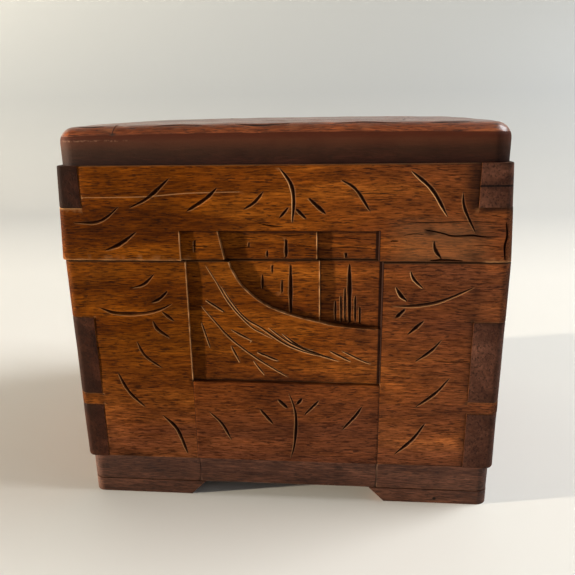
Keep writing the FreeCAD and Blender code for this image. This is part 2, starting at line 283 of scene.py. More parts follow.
def board(name, outline, to3d, thick, height, lines=(), spots=(), spacing=1.5, mats=(), face_mat=None, wall_mat=None, ulines=(), rim=0.4, soft=(), edge_wear=0.22, joint=0.7, inner_stain=0.0):
    """A board whose outer face is a height field over the outline. height(p) gives (depth, stain with painted shade,
    wear with painted glints) in mm at points p of the face. The walls run straight back to the inner face, thick
    behind. soft holds spans (axis, value) of outline edges that get no small break.
    """
    outline = [np.array(q, float) for q in outline]
    verts, edges = [], []

    def add(line, closed=False):
        base = len(verts)
        verts.extend([Vector((float(a), float(b))) for a, b in line])
        n = len(line)
        edges.extend((base + i, base + i + 1) for i in range(n - 1))
        if closed:
            edges.append((base + n - 1, base))
        return list(range(base, base + n))

    loop = []
    for a, b in zip(outline, outline[1:] + outline[:1]):
        n = max(1, int(np.linalg.norm(b - a) / 2.5))
        loop.extend(a + (b - a) * k / n for k in range(n))
    face = add(loop, True)
    arr = np.array(outline)
    (u0, v0), (u1, v1) = arr.min(0), arr.max(0)
    for a, b in zip(outline, outline[1:] + outline[:1]):
        ln = np.linalg.norm(b - a)
        if ln > 2 * rim + 0.1 and rim > 0.05:
            way = (b - a) / ln
            n = np.array([-way[1], way[0]])
            for k in (0.4 * rim, rim):
                cut = max(1, int(ln / 2.0))
                add([a + way * k + n * k + (b - a - 2 * k * way) * j / cut for j in range(cut + 1)])
    for u in ulines:
        if u0 < u < u1:
            cut = max(1, int((v1 - v0) / 2.0))
            add([(u, v0 + (v1 - v0) * j / cut) for j in range(cut + 1)])
    for line in lines:
        if len(line) > 1:
            add(line)
    pts = []
    for u in np.arange(u0 + spacing / 2, u1, spacing):
        for v in np.arange(v0 + spacing / 2, v1, spacing):
            pts.append((u, v))
    pts = np.array(pts) + np.random.default_rng(3).uniform(-0.3, 0.3, (len(pts), 2)) * spacing
    verts.extend([Vector((float(a), float(b))) for a, b in pts])
    verts.extend([Vector((float(a), float(b))) for a, b in spots])
    co, _, tris, *_ = delaunay_2d_cdt(verts, edges, [face], 1, 1e-4, False)
    p = np.array([(c.x, c.y) for c in co])
    used = np.zeros(len(p), bool)
    tris = np.array([t for t in tris if len(t) == 3])
    tris = tris[enclosed(p[tris].mean(1), np.array(loop))]
    for t in tris:
        used[list(t)] = True
    index = np.cumsum(used) - 1
    p = p[used]
    tris = np.array([[index[i] for i in t] for t in tris])
    a, b, c = p[tris[:, 0]], p[tris[:, 1]], p[tris[:, 2]]
    area = (b[:, 0] - a[:, 0]) * (c[:, 1] - a[:, 1]) - (b[:, 1] - a[:, 1]) * (c[:, 0] - a[:, 0])
    flip = area < 0
    tris[flip] = tris[flip][:, ::-1]
    depth, stain_and_shade, wear_and_glint = height(p)
    # A small worn break along the edges of the outline.
    gap = np.full(len(p), 1e9)
    for q, r in zip(outline, outline[1:] + outline[:1]):
        if any((ax == 0 and abs(q[0] - val) < 1e-6 and abs(r[0] - val) < 1e-6) or (ax == 1 and abs(q[1] - val) < 1e-6 and abs(r[1] - val) < 1e-6) for ax, val in soft):
            continue
        d, _, _ = near(p, np.array([q, r]))
        gap = np.minimum(gap, d)
    br = np.clip(1 - gap / rim, 0, 1)
    depth = depth + 0.55 * rim * br**2
    wear_and_glint = np.maximum(wear_and_glint, edge_wear * np.clip(br * 1.3 - 0.25, 0, 1))
    line = joint * np.clip(1.3 - gap / 0.3, 0, 1) * np.clip(0.75 + 0.5 * wobble(p[:, 0], p[:, 1], 6, 33), 0.15, 1)
    stain_and_shade = np.maximum(stain_and_shade, line * (1 - np.clip(1.6 * wear_and_glint - 0.4, 0, 1)))
    outer = [to3d(u, v, d) for (u, v), d in zip(p, depth)]
    n = len(p)
    count = {}
    for t in tris:
        for i in range(3):
            e = (int(t[i]), int(t[(i + 1) % 3]))
            count[e] = True
    rim_edges = [e for e in count if (e[1], e[0]) not in count]
    nxt = {e[0]: e[1] for e in rim_edges}
    assert len(nxt) == len(rim_edges), name
    inner_of, inner, loops = {}, [], []
    todo = set(nxt)
    while todo:
        start = min(todo)
        ring, i = [], start
        while i in todo:
            todo.discard(i)
            ring.append(i)
            i = nxt[i]
        loops.append(ring)
    for ring in loops:
        for i in ring:
            inner_of[i] = n + len(inner)
            inner.append(to3d(p[i, 0], p[i, 1], thick))
    faces = [tuple(int(i) for i in t) for t in tris]
    kinds = [face_mat(p[list(t)].mean(0)) if face_mat else 0 for t in faces]
    for x, y in rim_edges:
        faces.append((y, x, inner_of[x], inner_of[y]))
        way = p[y] - p[x]
        kinds.append(wall_mat(way) if wall_mat else 0)
    for ring in loops:
        faces.append(tuple(inner_of[i] for i in reversed(ring)))
        kinds.append(0)
    mesh = bpy.data.meshes.new(name)
    mesh.from_pydata([Vector(q) * 0.001 for q in outer + inner], [], faces)
    mesh.validate()
    for m in mats:
        mesh.materials.append(m)
    mesh.polygons.foreach_set("material_index", np.array(kinds, np.int32)[: len(mesh.polygons)])
    # The two attributes carry real stain and wear together with painted shade and painted glints.
    for key, val in (("stain_and_shade", stain_and_shade), ("wear_and_glint", wear_and_glint)):
        at = mesh.attributes.new(key, "FLOAT", "POINT")
        at.data.foreach_set("value", np.r_[val, np.full(len(inner), inner_stain if key == "stain_and_shade" else 0.0)].astype(np.float32))
    mesh.polygons.foreach_set("use_smooth", np.ones(len(mesh.polygons), bool))
    mesh.set_sharp_from_angle(angle=math.radians(32))
    mesh.update()
    ob = bpy.data.objects.new(name, mesh)
    bpy.context.scene.collection.objects.link(ob)
    return ob


def stands_for(ob, node):
    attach(ob, BODY_OF[node])
    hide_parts(node)
    return ob


def combine(p, strokes, base):
    depth, stain_and_shade, wear_and_glint = base
    for s in strokes:
        d, st, w = s.cut(p)
        depth = depth + d
        stain_and_shade = np.maximum(stain_and_shade, st)
        wear_and_glint = np.maximum(wear_and_glint * (d <= 0.02), w)
    return depth, stain_and_shade, wear_and_glint


def rounding(gap, r):
    s = np.clip(gap, 0, r)
    return r - np.sqrt(np.maximum(r * r - (r - s) ** 2, 0))


# ------------------------------------------------------------------- materials
def lin(r, g, b):
    return tuple(((c / 255) / 12.92 if c / 255 <= 0.04045 else ((c / 255 + 0.055) / 1.055) ** 2.4) for c in (r, g, b)) + (1.0,)


def new_material(name):
    m = bpy.data.materials.new(name)
    m.use_nodes = True
    m.node_tree.nodes.clear()
    return m, m.node_tree


class Net:
    def __init__(self, tree):
        self.t = tree

    def add(self, kind, **sets):
        n = self.t.nodes.new(kind)
        for k, v in sets.items():
            setattr(n, k, v)
        return n

    def link(self, a, b):
        self.t.links.new(a, b)

    def maths(self, op, a, b=None, clamp=False):
        n = self.add("ShaderNodeMath", operation=op, use_clamp=clamp)
        for i, x in enumerate((a, b)):
            if x is None:
                continue
            if isinstance(x, (int, float)):
                n.inputs[i].default_value = x
            else:
                self.link(x, n.inputs[i])
        return n.outputs[0]

    def mix(self, f, a, b, blend="MIX"):
        n = self.add("ShaderNodeMix", data_type="RGBA", blend_type=blend)
        n.clamp_factor = True
        for sock, x in ((n.inputs[0], f), (n.inputs[6], a), (n.inputs[7], b)):
            if isinstance(x, (int, float)):
                sock.default_value = x
            elif isinstance(x, tuple):
                sock.default_value = x
            else:
                self.link(x, sock)
        return n.outputs[2]

    def noise(self, vec, scale, detail=3.0, rough=0.55, distort=0.0):
        n = self.add("ShaderNodeTexNoise")
        n.inputs["Scale"].default_value = scale
        n.inputs["Detail"].default_value = detail
        n.inputs["Roughness"].default_value = rough
        n.inputs["Distortion"].default_value = distort
        self.link(vec, n.inputs["Vector"])
        return n.outputs["Fac"]

    def ramp(self, fac, stops):
        n = self.add("ShaderNodeValToRGB")
        e = n.color_ramp.elements
        while len(e) < len(stops):
            e.new(0.5)
        for el, (pos, col) in zip(e, stops):
            el.position = pos
            el.color = col
        self.link(fac, n.inputs[0])
        return n.outputs["Color"]

    def remap(self, fac, lo, hi):
        n = self.add("ShaderNodeMapRange")
        n.inputs["From Min"].default_value = lo
        n.inputs["From Max"].default_value = hi
        self.link(fac, n.inputs["Value"])
        return n.outputs["Result"]

    def span(self, fac, lo, hi, a, b):
        """fac from lo..hi to a..b, clamped."""
        n = self.add("ShaderNodeMapRange")
        for key, val in (("From Min", lo), ("From Max", hi), ("To Min", a), ("To Max", b)):
            n.inputs[key].default_value = val
        self.link(fac, n.inputs["Value"])
        return n.outputs["Result"]

    def scaled(self, vec, scale, offset=(0, 0, 0)):
        n = self.add("ShaderNodeMapping")
        n.inputs["Scale"].default_value = scale
        n.inputs["Location"].default_value = offset
        self.link(vec, n.inputs["Vector"])
        return n.outputs["Vector"]

    def attribute(self, name):
        n = self.add("ShaderNodeAttribute", attribute_name=name)
        return n.outputs["Fac"]


def wood(name, axis, dark, mid, light, groove, rub_and_painted_light, rough=0.45, coat=0.03, pores=0.72, offset=0.0, ends=False, blotch=0.45, bump=0.25, gloss=0.05, across=None, painted_sheen=0.0, seam=None, spot=None, pale_marks=None, gap=None):
    """Stained wood with the grain along axis. With ends, end grain: specks in place of streaks."""
    m, t = new_material(name)
    k = Net(t)
    out = k.add("ShaderNodeOutputMaterial")
    s = k.add("ShaderNodeBsdfPrincipled")
    k.link(s.outputs[0], out.inputs["Surface"])
    at = k.add("ShaderNodeTexCoord").outputs["Object"]
    sc = lambda a, b: tuple(a if i == axis else b for i in range(3))
    place = (offset, offset * 1.7, offset * 0.6)
    # The grain wanders a little across its own direction.
    sway = k.add("ShaderNodeVectorMath", operation="MULTIPLY_ADD")
    k.link(k.noise(k.scaled(at, sc(16, 34), place), 1.0, 2, 0.5), sway.inputs[0])
    sway.inputs[1].default_value = sc(0.0, 0.005)
    k.link(at, sway.inputs[2])
    at2 = sway.outputs[0]
    figure = k.noise(k.scaled(at2, sc(10, 105) if not ends else (60, 60, 60), place), 1.0, 5, 0.62, 0.8)
    fibre = k.noise(k.scaled(at2, sc(190, 2100) if not ends else (900, 900, 900), place), 1.0, 4, 0.7)
    pore = k.noise(k.scaled(at2, sc(330, 2600) if not ends else (1300, 1300, 1300), place), 1.0, 2, 0.5)
    cloud = k.noise(k.scaled(at, (30, 30, 30), place), 1.0, 3, 0.5)
    mottle = k.noise(k.scaled(at, sc(60, 260), place), 1.0, 5, 0.65)
    patch = k.noise(k.scaled(at, sc(55, 150), place), 1.0, 3, 0.6)
    col = k.ramp(figure, [(0.30, dark), (0.5, mid), (0.70, light)])
    col = k.mix(1.0, col, k.span(mottle, 0.34, 0.66, 0.74, 1.24), "MULTIPLY")
    if painted_sheen:
        # Painted sheen: greyer and cooler towards the foot and towards the right of the box, where the window's
        # reflection falls.
        low = k.add("ShaderNodeSeparateXYZ")
        k.link(at, low.inputs[0])
        col = k.mix(k.maths("MULTIPLY", k.maths("MAXIMUM", k.span(low.outputs[2], 0.060, 0.022, 0.0, 0.62), k.span(low.outputs[0], 0.010, 0.060, 0.0, 0.5)), painted_sheen), col, k.mix(1.0, lin(112, 70, 52), k.span(mottle, 0.34, 0.66, 0.78, 1.2), "MULTIPLY"))
    if painted_sheen > 0.55:
        # Painted shade: warmer and deeper in colour towards the left, away from the cool sheen on the right.
        col = k.mix(k.maths("MULTIPLY", k.span(low.outputs[0], 0.015, -0.040, 0.0, 1.0), k.span(low.outputs[2], 0.024, 0.070, 0.0, 1.0)), col, k.mix(1.0, col, (1.0, 0.95, 0.45, 1), "MULTIPLY"))
    col = k.mix(k.maths("MULTIPLY", k.remap(fibre, 0.58, 0.34), 0.5 if ends else 0.95), col, k.mix(1.0, col, (0.30, 0.23, 0.19, 1), "MULTIPLY"))
    col = k.mix(k.maths("MULTIPLY", k.remap(fibre, 0.56, 0.70), 0.5), col, k.mix(1.0, col, (1.5, 1.42, 1.3, 1), "MULTIPLY"))
    col = k.mix(k.maths("MULTIPLY", k.remap(cloud, 0.46, 0.70), blotch), col, k.mix(1.0, col, (0.48, 0.40, 0.40, 1), "MULTIPLY"))
    col = k.mix(k.maths("MULTIPLY", k.remap(patch, 0.56, 0.74), 0.55), col, k.mix(1.0, col, (1.55, 1.45, 1.25, 1), "MULTIPLY"))
    dash = k.remap(pore, 0.56, 0.65)
    col = k.mix(k.maths("MULTIPLY", dash, pores), col, groove)
    # Pale worn colour where wear and painted glints lie.
    wear_and_glint = k.maths("MULTIPLY", k.attribute("wear_and_glint"), k.remap(cloud, 0.15, 0.42))
    col = k.mix(k.maths("MULTIPLY", wear_and_glint, 0.92), col, rub_and_painted_light)
    # Dark groove colour where stain and painted shade lie.
    stain_and_shade = k.attribute("stain_and_shade")
    col = k.mix(k.maths("MULTIPLY", stain_and_shade, 0.93, True), col, groove)
    if across:
        # Faces across the grain show dark end grain.
        face = k.add("ShaderNodeSeparateXYZ")
        k.link(k.add("ShaderNodeNewGeometry").outputs["True Normal"], face.inputs[0])
        turned = k.remap(k.maths("ABSOLUTE", face.outputs[axis]), 0.62, 0.80)
        col = k.mix(turned, col, k.ramp(fibre, [(0.3, across["dark"]), (0.5, across["mid"]), (0.72, across["light"])]))
    if gap:
        # The dark line where lid and body meet, on upright faces only.
        here = k.add("ShaderNodeSeparateXYZ")
        k.link(at, here.inputs[0])
        up = k.add("ShaderNodeSeparateXYZ")
        k.link(k.add("ShaderNodeTexCoord").outputs["Normal"], up.inputs[0])
        line = k.span(k.maths("ABSOLUTE", k.maths("SUBTRACT", here.outputs[2], gap)), 0.00035, 0.0008, 1.0, 0.0)
        line = k.maths("MULTIPLY", line, k.remap(k.maths("ABSOLUTE", up.outputs[2]), 0.6, 0.3))
        col = k.mix(k.maths("MULTIPLY", line, 0.85), col, groove)
    if pale_marks:
        # Painted light: the edge turns paler towards the top, where it rolls up into the rounding; a broken pale line
        # along the upper left of the front is a painted glint.
        here = k.add("ShaderNodeSeparateXYZ")
        k.link(at, here.inputs[0])
        col = k.mix(k.span(here.outputs[2], 0.1285, 0.1325, 0.0, 0.5), col, lin(86, 42, 25))
        line = k.span(k.maths("ABSOLUTE", k.maths("SUBTRACT", here.outputs[2], pale_marks)), 0.0001, 0.0004, 1.0, 0.0)
        line = k.maths("MULTIPLY", line, k.span(here.outputs[0], -0.046, -0.056, 0.0, 1.0))
        line = k.maths("MULTIPLY", line, k.span(here.outputs[1], -0.0585, -0.0600, 0.0, 1.0))
        line = k.maths("MULTIPLY", line, k.remap(k.noise(k.scaled(at, (900, 900, 900)), 1.0, 3, 0.7), 0.45, 0.66))
        col = k.mix(k.maths("MULTIPLY", line, 0.45), col, lin(158, 118, 92))
    if seam or spot:
        here = k.add("ShaderNodeSeparateXYZ")
        k.link(at, here.inputs[0])
        hx, hy, hz = here.outputs
        front = k.span(hy, -0.056, -0.057, 0.0, 1.0)
        if seam:
            # A split across the front end, and the pale edge under it.
            off = k.maths("ADD", k.maths("SUBTRACT", hz, seam), k.maths("MULTIPLY", k.maths("SUBTRACT", cloud, 0.5), 0.0008))
            mark = k.span(k.maths("ABSOLUTE", off), 0.00014, 0.00042, 1.0, 0.0)
        else:
            # A small dark nail hole.
            away = k.maths("ADD", k.maths("POWER", k.maths("SUBTRACT", hx, spot[0]), 2.0), k.maths("POWER", k.maths("SUBTRACT", hz, spot[1]), 2.0))
            mark = k.span(k.maths("SQRT", away), 0.00045, 0.0008, 1.0, 0.0)
        col = k.mix(k.maths("MULTIPLY", mark, front), col, lin(14, 8, 6))
    k.link(col, s.inputs["Base Color"])
    r = k.maths("ADD", k.maths("MULTIPLY", k.remap(cloud, 0.3, 0.7), 0.14), rough - 0.05)
    r = k.maths("ADD", r, k.maths("MULTIPLY", stain_and_shade, 0.25), True)
    k.link(r, s.inputs["Roughness"])
    s.inputs["Coat Weight"].default_value = coat
    s.inputs["Coat Roughness"].default_value = 0.26
    s.inputs["Specular IOR Level"].default_value = gloss
    if painted_sheen > 0.55:
        k.link(k.span(low.outputs[0], -0.030, 0.035, 0.2 * gloss, gloss), s.inputs["Specular IOR Level"])
    b = k.add("ShaderNodeBump")
    b.inputs["Strength"].default_value = bump
    b.inputs["Distance"].default_value = 0.0004
    k.link(k.maths("SUBTRACT", k.maths("MULTIPLY", fibre, 0.6), k.maths("MULTIPLY", dash, 0.5)), b.inputs["Height"])
    k.link(b.outputs[0], s.inputs["Normal"])
    return m


def plain(name, colour, rough, metal=0.0, scale=900, amount=0.35):
    m, t = new_material(name)
    k = Net(t)
    out = k.add("ShaderNodeOutputMaterial")
    s = k.add("ShaderNodeBsdfPrincipled")
    k.link(s.outputs[0], out.inputs["Surface"])
    at = k.add("ShaderNodeTexCoord").outputs["Object"]
    n = k.noise(at, scale, 4, 0.6)
    c = k.noise(at, scale / 9, 3, 0.6)
    dark = tuple(x * 0.45 for x in colour[:3]) + (1,)
    col = k.mix(k.maths("MULTIPLY", k.remap(c, 0.42, 0.68), amount + 0.25), colour, dark)
    col = k.mix(k.maths("MULTIPLY", k.remap(n, 0.45, 0.7), amount), col, dark)
    k.link(col, s.inputs["Base Color"])
    k.link(k.maths("ADD", k.maths("MULTIPLY", c, 0.25), rough - 0.1, True), s.inputs["Roughness"])
    s.inputs["Metallic"].default_value = metal
    return m


def felt(name, colour):
    m, t = new_material(name)
    k = Net(t)
    out = k.add("ShaderNodeOutputMaterial")
    s = k.add("ShaderNodeBsdfPrincipled")
    k.link(s.outputs[0], out.inputs["Surface"])
    at = k.add("ShaderNodeTexCoord").outputs["Object"]
    n = k.noise(at, 2600, 3, 0.7)
    c = k.noise(at, 70, 3, 0.6)
    dark = tuple(x * 0.5 for x in colour[:3]) + (1,)
    light = tuple(min(1, x * 1.6 + 0.01) for x in colour[:3]) + (1,)
    col = k.mix(k.remap(n, 0.35, 0.65), dark, light)
    col = k.mix(k.maths("MULTIPLY", k.remap(c, 0.4, 0.7), 0.4), col, dark)
    k.link(col, s.inputs["Base Color"])
    s.inputs["Roughness"].default_value = 0.95
    s.inputs["Sheen Weight"].default_value = 0.08
    s.inputs["Specular IOR Level"].default_value = 0.15
    b = k.add("ShaderNodeBump")
    b.inputs["Strength"].default_value = 0.6
    b.inputs["Distance"].default_value = 0.0003
    k.link(n, b.inputs["Height"])
    k.link(b.outputs[0], s.inputs["Normal"])
    return m


# The dark colour that stain and painted shade mix towards.
GROOVE = lin(23, 11, 7)
# The last colour of each set is the pale colour of worn wood, also used for the painted glints.
HONEY = dict(dark=lin(80, 36, 7), mid=lin(118, 61, 13), light=lin(154, 87, 26), groove=GROOVE, rub_and_painted_light=lin(232, 172, 116))
DARKW = dict(dark=lin(32, 13, 9), mid=lin(46, 20, 14), light=lin(68, 33, 23), groove=lin(24, 13, 10), rub_and_painted_light=lin(150, 102, 72))
ENDG = dict(dark=lin(36, 17, 11), mid=lin(54, 28, 18), light=lin(80, 45, 29), groove=lin(26, 15, 10), rub_and_painted_light=lin(128, 84, 54))
DULL = dict(dark=lin(62, 37, 27), mid=lin(80, 49, 36), light=lin(99, 64, 48), groove=lin(34, 20, 15), rub_and_painted_light=lin(140, 104, 80))
INNER = dict(dark=lin(120, 78, 42), mid=lin(148, 101, 58), light=lin(172, 124, 76), groove=lin(70, 42, 22), rub_and_painted_light=lin(190, 146, 100))

front_wood = wood("wood_front", 0, **HONEY, painted_sheen=0.85, coat=0.0)
drawer_wood = wood("wood_drawer_front", 0, **{**HONEY, "mid": lin(106, 52, 11), "light": lin(132, 70, 18)}, offset=0.31, painted_sheen=0.85, coat=0.0)
lid_wood = wood("wood_lid", 0, **HONEY, offset=0.83, painted_sheen=0.6, coat=0.0)
side_wood = wood("wood_side", 1, **HONEY, offset=0.47, painted_sheen=0.5)
back_wood = wood("wood_back", 0, **HONEY, offset=1.21, across=ENDG, gap=0.09205)
end_wood_x = wood("wood_end_x", 0, **ENDG, ends=True, rough=0.5, coat=0.0, pores=0.6, gloss=0.03, gap=0.09205)
end_wood_y = wood("wood_end_y", 1, **ENDG, ends=True, rough=0.5, coat=0.0, pores=0.6, offset=0.6, gloss=0.03)
# Painted shade: a darker copy of the end grain for the lid's left corners.
end_wood_left_shaded = wood("wood_end_lid_left_shaded", 1, **{**ENDG, "dark": lin(26, 12, 8), "mid": lin(39, 19, 13), "light": lin(58, 31, 21)}, ends=True, rough=0.5, coat=0.0, pores=0.6, offset=0.35, gloss=0.02)
# Painted sheen: a paler, greyer copy of the end grain for the right corners, with a split across its front end.
end_wood_right_sheen = wood("wood_end_right_sheen", 1, **{**ENDG, "dark": lin(54, 30, 22), "mid": lin(76, 46, 34), "light": lin(98, 63, 49)}, ends=True, rough=0.5, coat=0.0, pores=0.6, offset=0.9, gloss=0.06, seam=0.1167)
top_wood = wood("wood_top", 0, **{**DARKW, "dark": lin(92, 44, 22), "mid": lin(128, 67, 34), "light": lin(164, 94, 48)}, rough=0.34, coat=0.5, gloss=0.2)
top_edge = wood("wood_top_edge", 0, **DARKW, rough=0.5, coat=0.0, blotch=0.5, gloss=0.05, pale_marks=0.1316)
plinth_x = wood("wood_plinth_x", 0, **DULL, rough=0.5, coat=0.05, gloss=0.12)
foot_wood = wood("wood_foot", 0, **DULL, rough=0.5, coat=0.05, gloss=0.12, offset=0.23, spot=(0.0555, 0.0019))
plinth_y = wood("wood_plinth_y", 1, **DULL, rough=0.5, coat=0.05, gloss=0.12, offset=0.4)
inner_x = wood("wood_inner_x", 0, **INNER, rough=0.6, coat=0.0, blotch=0.25)
inner_y = wood("wood_inner_y", 1, **INNER, rough=0.6, coat=0.0, blotch=0.25, offset=0.7)
brass = plain("brass_aged", (0.62, 0.44, 0.16, 1), 0.34, 1.0)
steel = plain("steel_wire", (0.42, 0.41, 0.40, 1), 0.42, 1.0)
red_felt = felt("felt_red", (0.13, 0.010, 0.016, 1))


# --------------------------------------------------------------- to 3D mappings
def on_front(u, v, d):
    return (u, YF + d, v)


def end_walls_front(way):
    """Walls of a front or back board that face along the grain are end grain."""
    return 1 if abs(way[1]) > abs(way[0]) else 0


def round_lines(edge, sign, r):
    return [edge + sign * k * r for k in (0.03, 0.12, 0.3, 0.6, 1.0)]


# ----------------------------------------------------------------- front boards
def lid_edges(z):
    """Left and right outer faces of the lid at height z: they lean in upwards."""
    f = (z - Z_LID) / (Z_FRAME - Z_LID)
    return LX0 + BATTER * f, LX1 - BATTER * f


def strokes_of(lists, width=1.3, depth=0.55, ends=0.6, bright=0.3):
    return [Stroke(q, width * (0.85 + 0.3 * ((i * 7) % 5) / 4), depth, ends, 0, bright) for i, q in enumerate(lists)]


def with_panel(p, x0, x1, z0, z1, contour, step_x, open_low, open_high):
    """Depth of the sunk panel, and the dirt and painted shade in its corners and at its steps."""
    s = 0.16
    inside = np.clip((p[:, 0] - x0) / s, 0, 1) * np.clip((x1 - p[:, 0]) / s, 0, 1)
    gap = np.minimum(p[:, 0] - x0, x1 - p[:, 0])
    if not open_low:
        inside = inside * np.clip((p[:, 1] - z0) / s, 0, 1)
        gap = np.minimum(gap, p[:, 1] - z0)
    if not open_high:
        inside = inside * np.clip((z1 - p[:, 1]) / s, 0, 1)
        gap = np.minimum(gap, z1 - p[:, 1])
    dist, _, side = near(p, contour)
    sky = np.clip(dist * side / 0.3, 0, 1)
    deep = np.clip((p[:, 0] - step_x) / 0.25, 0, 1)
    level = HILL + sky * (SKY_L - HILL + deep * (SKY_R - SKY_L))
    level = level + 0.10 * wobble(p[:, 0], p[:, 1], 7, 5) * inside
    depth = inside * level
    x, z = p[:, 0], p[:, 1]
    # Darkening in the corners: dirt in the right corner, painted shadow under the top wall (wider where the panel is
    # deeper) and along the bottom wall, least in the left corner.
    darkening = np.clip(1.5 - (x1 - x) / 0.9, 0, 1)
    uneven = np.clip(0.62 + 0.75 * wobble(x, z, 4.5, 43), 0.05, 1)
    darkening = np.maximum(darkening, 0.5 * np.clip(1 - (x - x0) / 0.5, 0, 1))
    if not open_high:
        darkening = np.maximum(darkening, np.clip(1.5 - (z1 - z) / (0.45 + 0.3 * level), 0, 1))
    # Painted shade along the bottom wall, fading towards the right.
    painted_low_wall_shade = np.clip(1.5 - (z - PANEL_Z0) / 0.8, 0, 1) * (1 - 0.5 * np.clip((x - 5) / 12, 0, 1))
    darkening = np.maximum(darkening, painted_low_wall_shade * open_high)
    dust = open_high * np.clip(1.7 - (z - PANEL_Z0) / 2.6, 0, 1) * np.clip(0.5 + 0.2 * wobble(x, z, 9, 45) - 0.004 * (x + 30), 0, 1)
    smudge = np.hypot((x - 27.5) / 5.0, (z - 63.5) / 2.6)
    dust = np.maximum(dust, open_high * np.clip(1.0 - smudge, 0, 1) * 0.6)
    # Painted shadow along the foot of the contour step and in the lee of the upright step, on the side away from the
    # light.
    foot = (sky > 0.95) * np.clip(1 - (dist - 0.3) / 0.7, 0, 1) * 0.5
    painted_step_shadow = sky * (deep > 0.95) * np.clip(1 - (x - step_x - 0.25) / 0.7, 0, 1) * 0.5
    # Random darker patches, and painted shade darker towards the left of the panel.
    rub_and_painted_light = np.maximum(0.22 * np.clip(wobble(x, z, 8, 17) - 0.1, 0, 1), 0.17 * np.clip((16 - x) / 14, 0, 1))
    stain_and_shade = inside * np.maximum(np.maximum(darkening, dust), np.maximum(np.maximum(foot, painted_step_shadow), rub_and_painted_light))
    right_wall = np.clip((x - x1 + 1.25) / 0.3, 0, 1) * np.clip((x1 + 0.28 - x) / 0.14, 0, 1) * ((z > PANEL_Z0) if open_high else (z < z1 + 0.2))
    stain_and_shade = np.maximum(stain_and_shade, right_wall)
    # Pale worn arrises along the left wall, the contour and the step, partly painted highlight; on the contour brighter
    # towards the left, where the light comes from.
    rims = np.clip((0.26 - np.maximum(x0 - x, 6 * (x - x0))) / 0.16, 0, 1) * uneven
    if not open_high:
        rims = rims * (z < z1)
    else:
        rims = rims * (z > PANEL_Z0)
    crest = np.clip(1.0 - (x + 2) / 26, 0.2, 0.85) * inside * np.clip((0.26 - np.where(side > 0, 4 * dist, dist)) / 0.16, 0, 1) * uneven
    edge = inside * sky * np.clip((0.26 - np.maximum(step_x - x, 6 * (x - step_x))) / 0.16, 0, 1) * uneven
    wear_and_glint = np.maximum(rims, np.maximum(crest, edge))
    return depth, stain_and_shade, wear_and_glint, inside, sky


def offset_line(line, by):
    return line + normals_of(line) * by


front_contour = smooth_line(CONTOUR, 0.6)
lid_contour = smooth_line(LID_CONTOUR, 0.6)


def clipped(line, x0, x1, z0, z1):
    keep = (line[:, 0] > x0) & (line[:, 0] < x1) & (line[:, 1] > z0) & (line[:, 1] < z1)
    return line[keep]


def side_smear(p, x0, x1):
    """Darker stain rubbed along the finger joints."""
    g = np.minimum(np.abs(p[:, 0] - x0), np.abs(p[:, 0] - x1))
    return np.clip(1 - g / 7.0, 0, 1) ** 2 * np.clip(0.32 + 0.5 * wobble(p[:, 0], p[:, 1], 7, 11), 0, 1)


def lid_line(z, edge):
    """A dark line along the joint between lid and body."""
    return np.clip(1.35 - np.abs(z - edge) / 0.42, 0, 1) * 0.95


def painted_left_shade(p):
    """Painted shade: darker towards the left and higher up, standing in for the window light that falls more on the
    right.
    """
    t = np.clip((14 - p[:, 0]) / 38, 0, 1) * np.clip((p[:, 1] - 22) / 40, 0.25, 1)
    return 0.5 * t * (0.8 + 0.3 * wobble(p[:, 0], p[:, 1], 30, 29))


def corner_dirt(end, p):
    """Dark handling marks on the rounded corners."""
    return np.clip(1.25 - end / 1.9, 0, 1) * (0.62 + 0.2 * wobble(p[:, 0], p[:, 1], 9, 19))


def fingers_outline(x0, x1, z0, z1, side_spans, bottom_cut=None, xi1=XI1):
    """The outline of a front board, from its lower left corner, with the side boards' fingers taken out of its ends."""
    right, left = [], []
    z = z0
    taken = sorted(side_spans)
    at_edge = not any(abs(a - z0) < 1e-6 for a, _ in taken)
    pts_r = [(x1 if at_edge else xi1, z0)]
    for a, b in taken:
        if a > z0 + 1e-6:
            pts_r += [(x1, a), (xi1, a)]
        if b < z1 - 1e-6:
            pts_r += [(xi1, b), (x1, b)]
    end_in = any(abs(b - z1) < 1e-6 for _, b in taken)
    pts_r.append((xi1 if end_in else x1, z1))
    pts_l = [((x0 if x == x1 else XI0), zz) for x, zz in pts_r]
    bottom = []
    if bottom_cut:
        c0, c1, cz = bottom_cut
        bottom = [(c0, z0), (c0, cz), (c1, cz), (c1, z0)]
    return [pts_l[0]] + bottom + pts_r + list(reversed(pts_l[1:]))


BODY_SIDE = [(Z_PLINTH, 37.7), (42.3, 71.5)]
LID_SIDE = [(110.0, Z_FRAME)]

body_cuts = strokes_of(BODY_STROKES)
# Strength of the painted glint on three body strokes.
for i, b in ((13, 0.35), (14, 0.8), (15, 0.8)):
    body_cuts[i].bright = b
# The hill's fine strokes get a strong painted glint.
panel_cuts = strokes_of(HILL_STROKES, 0.75, 0.65, 0.4, 0.75) + [Stroke(q, w, 0.55, 0.25) for q, w in UPRIGHTS]
body_cracks = [Crack([(52, 57.5), (58, 57.2), (64, 57.6)], 0.25), Crack([(-66.0, 60.0), (-60, 60.4)], 0.2)]


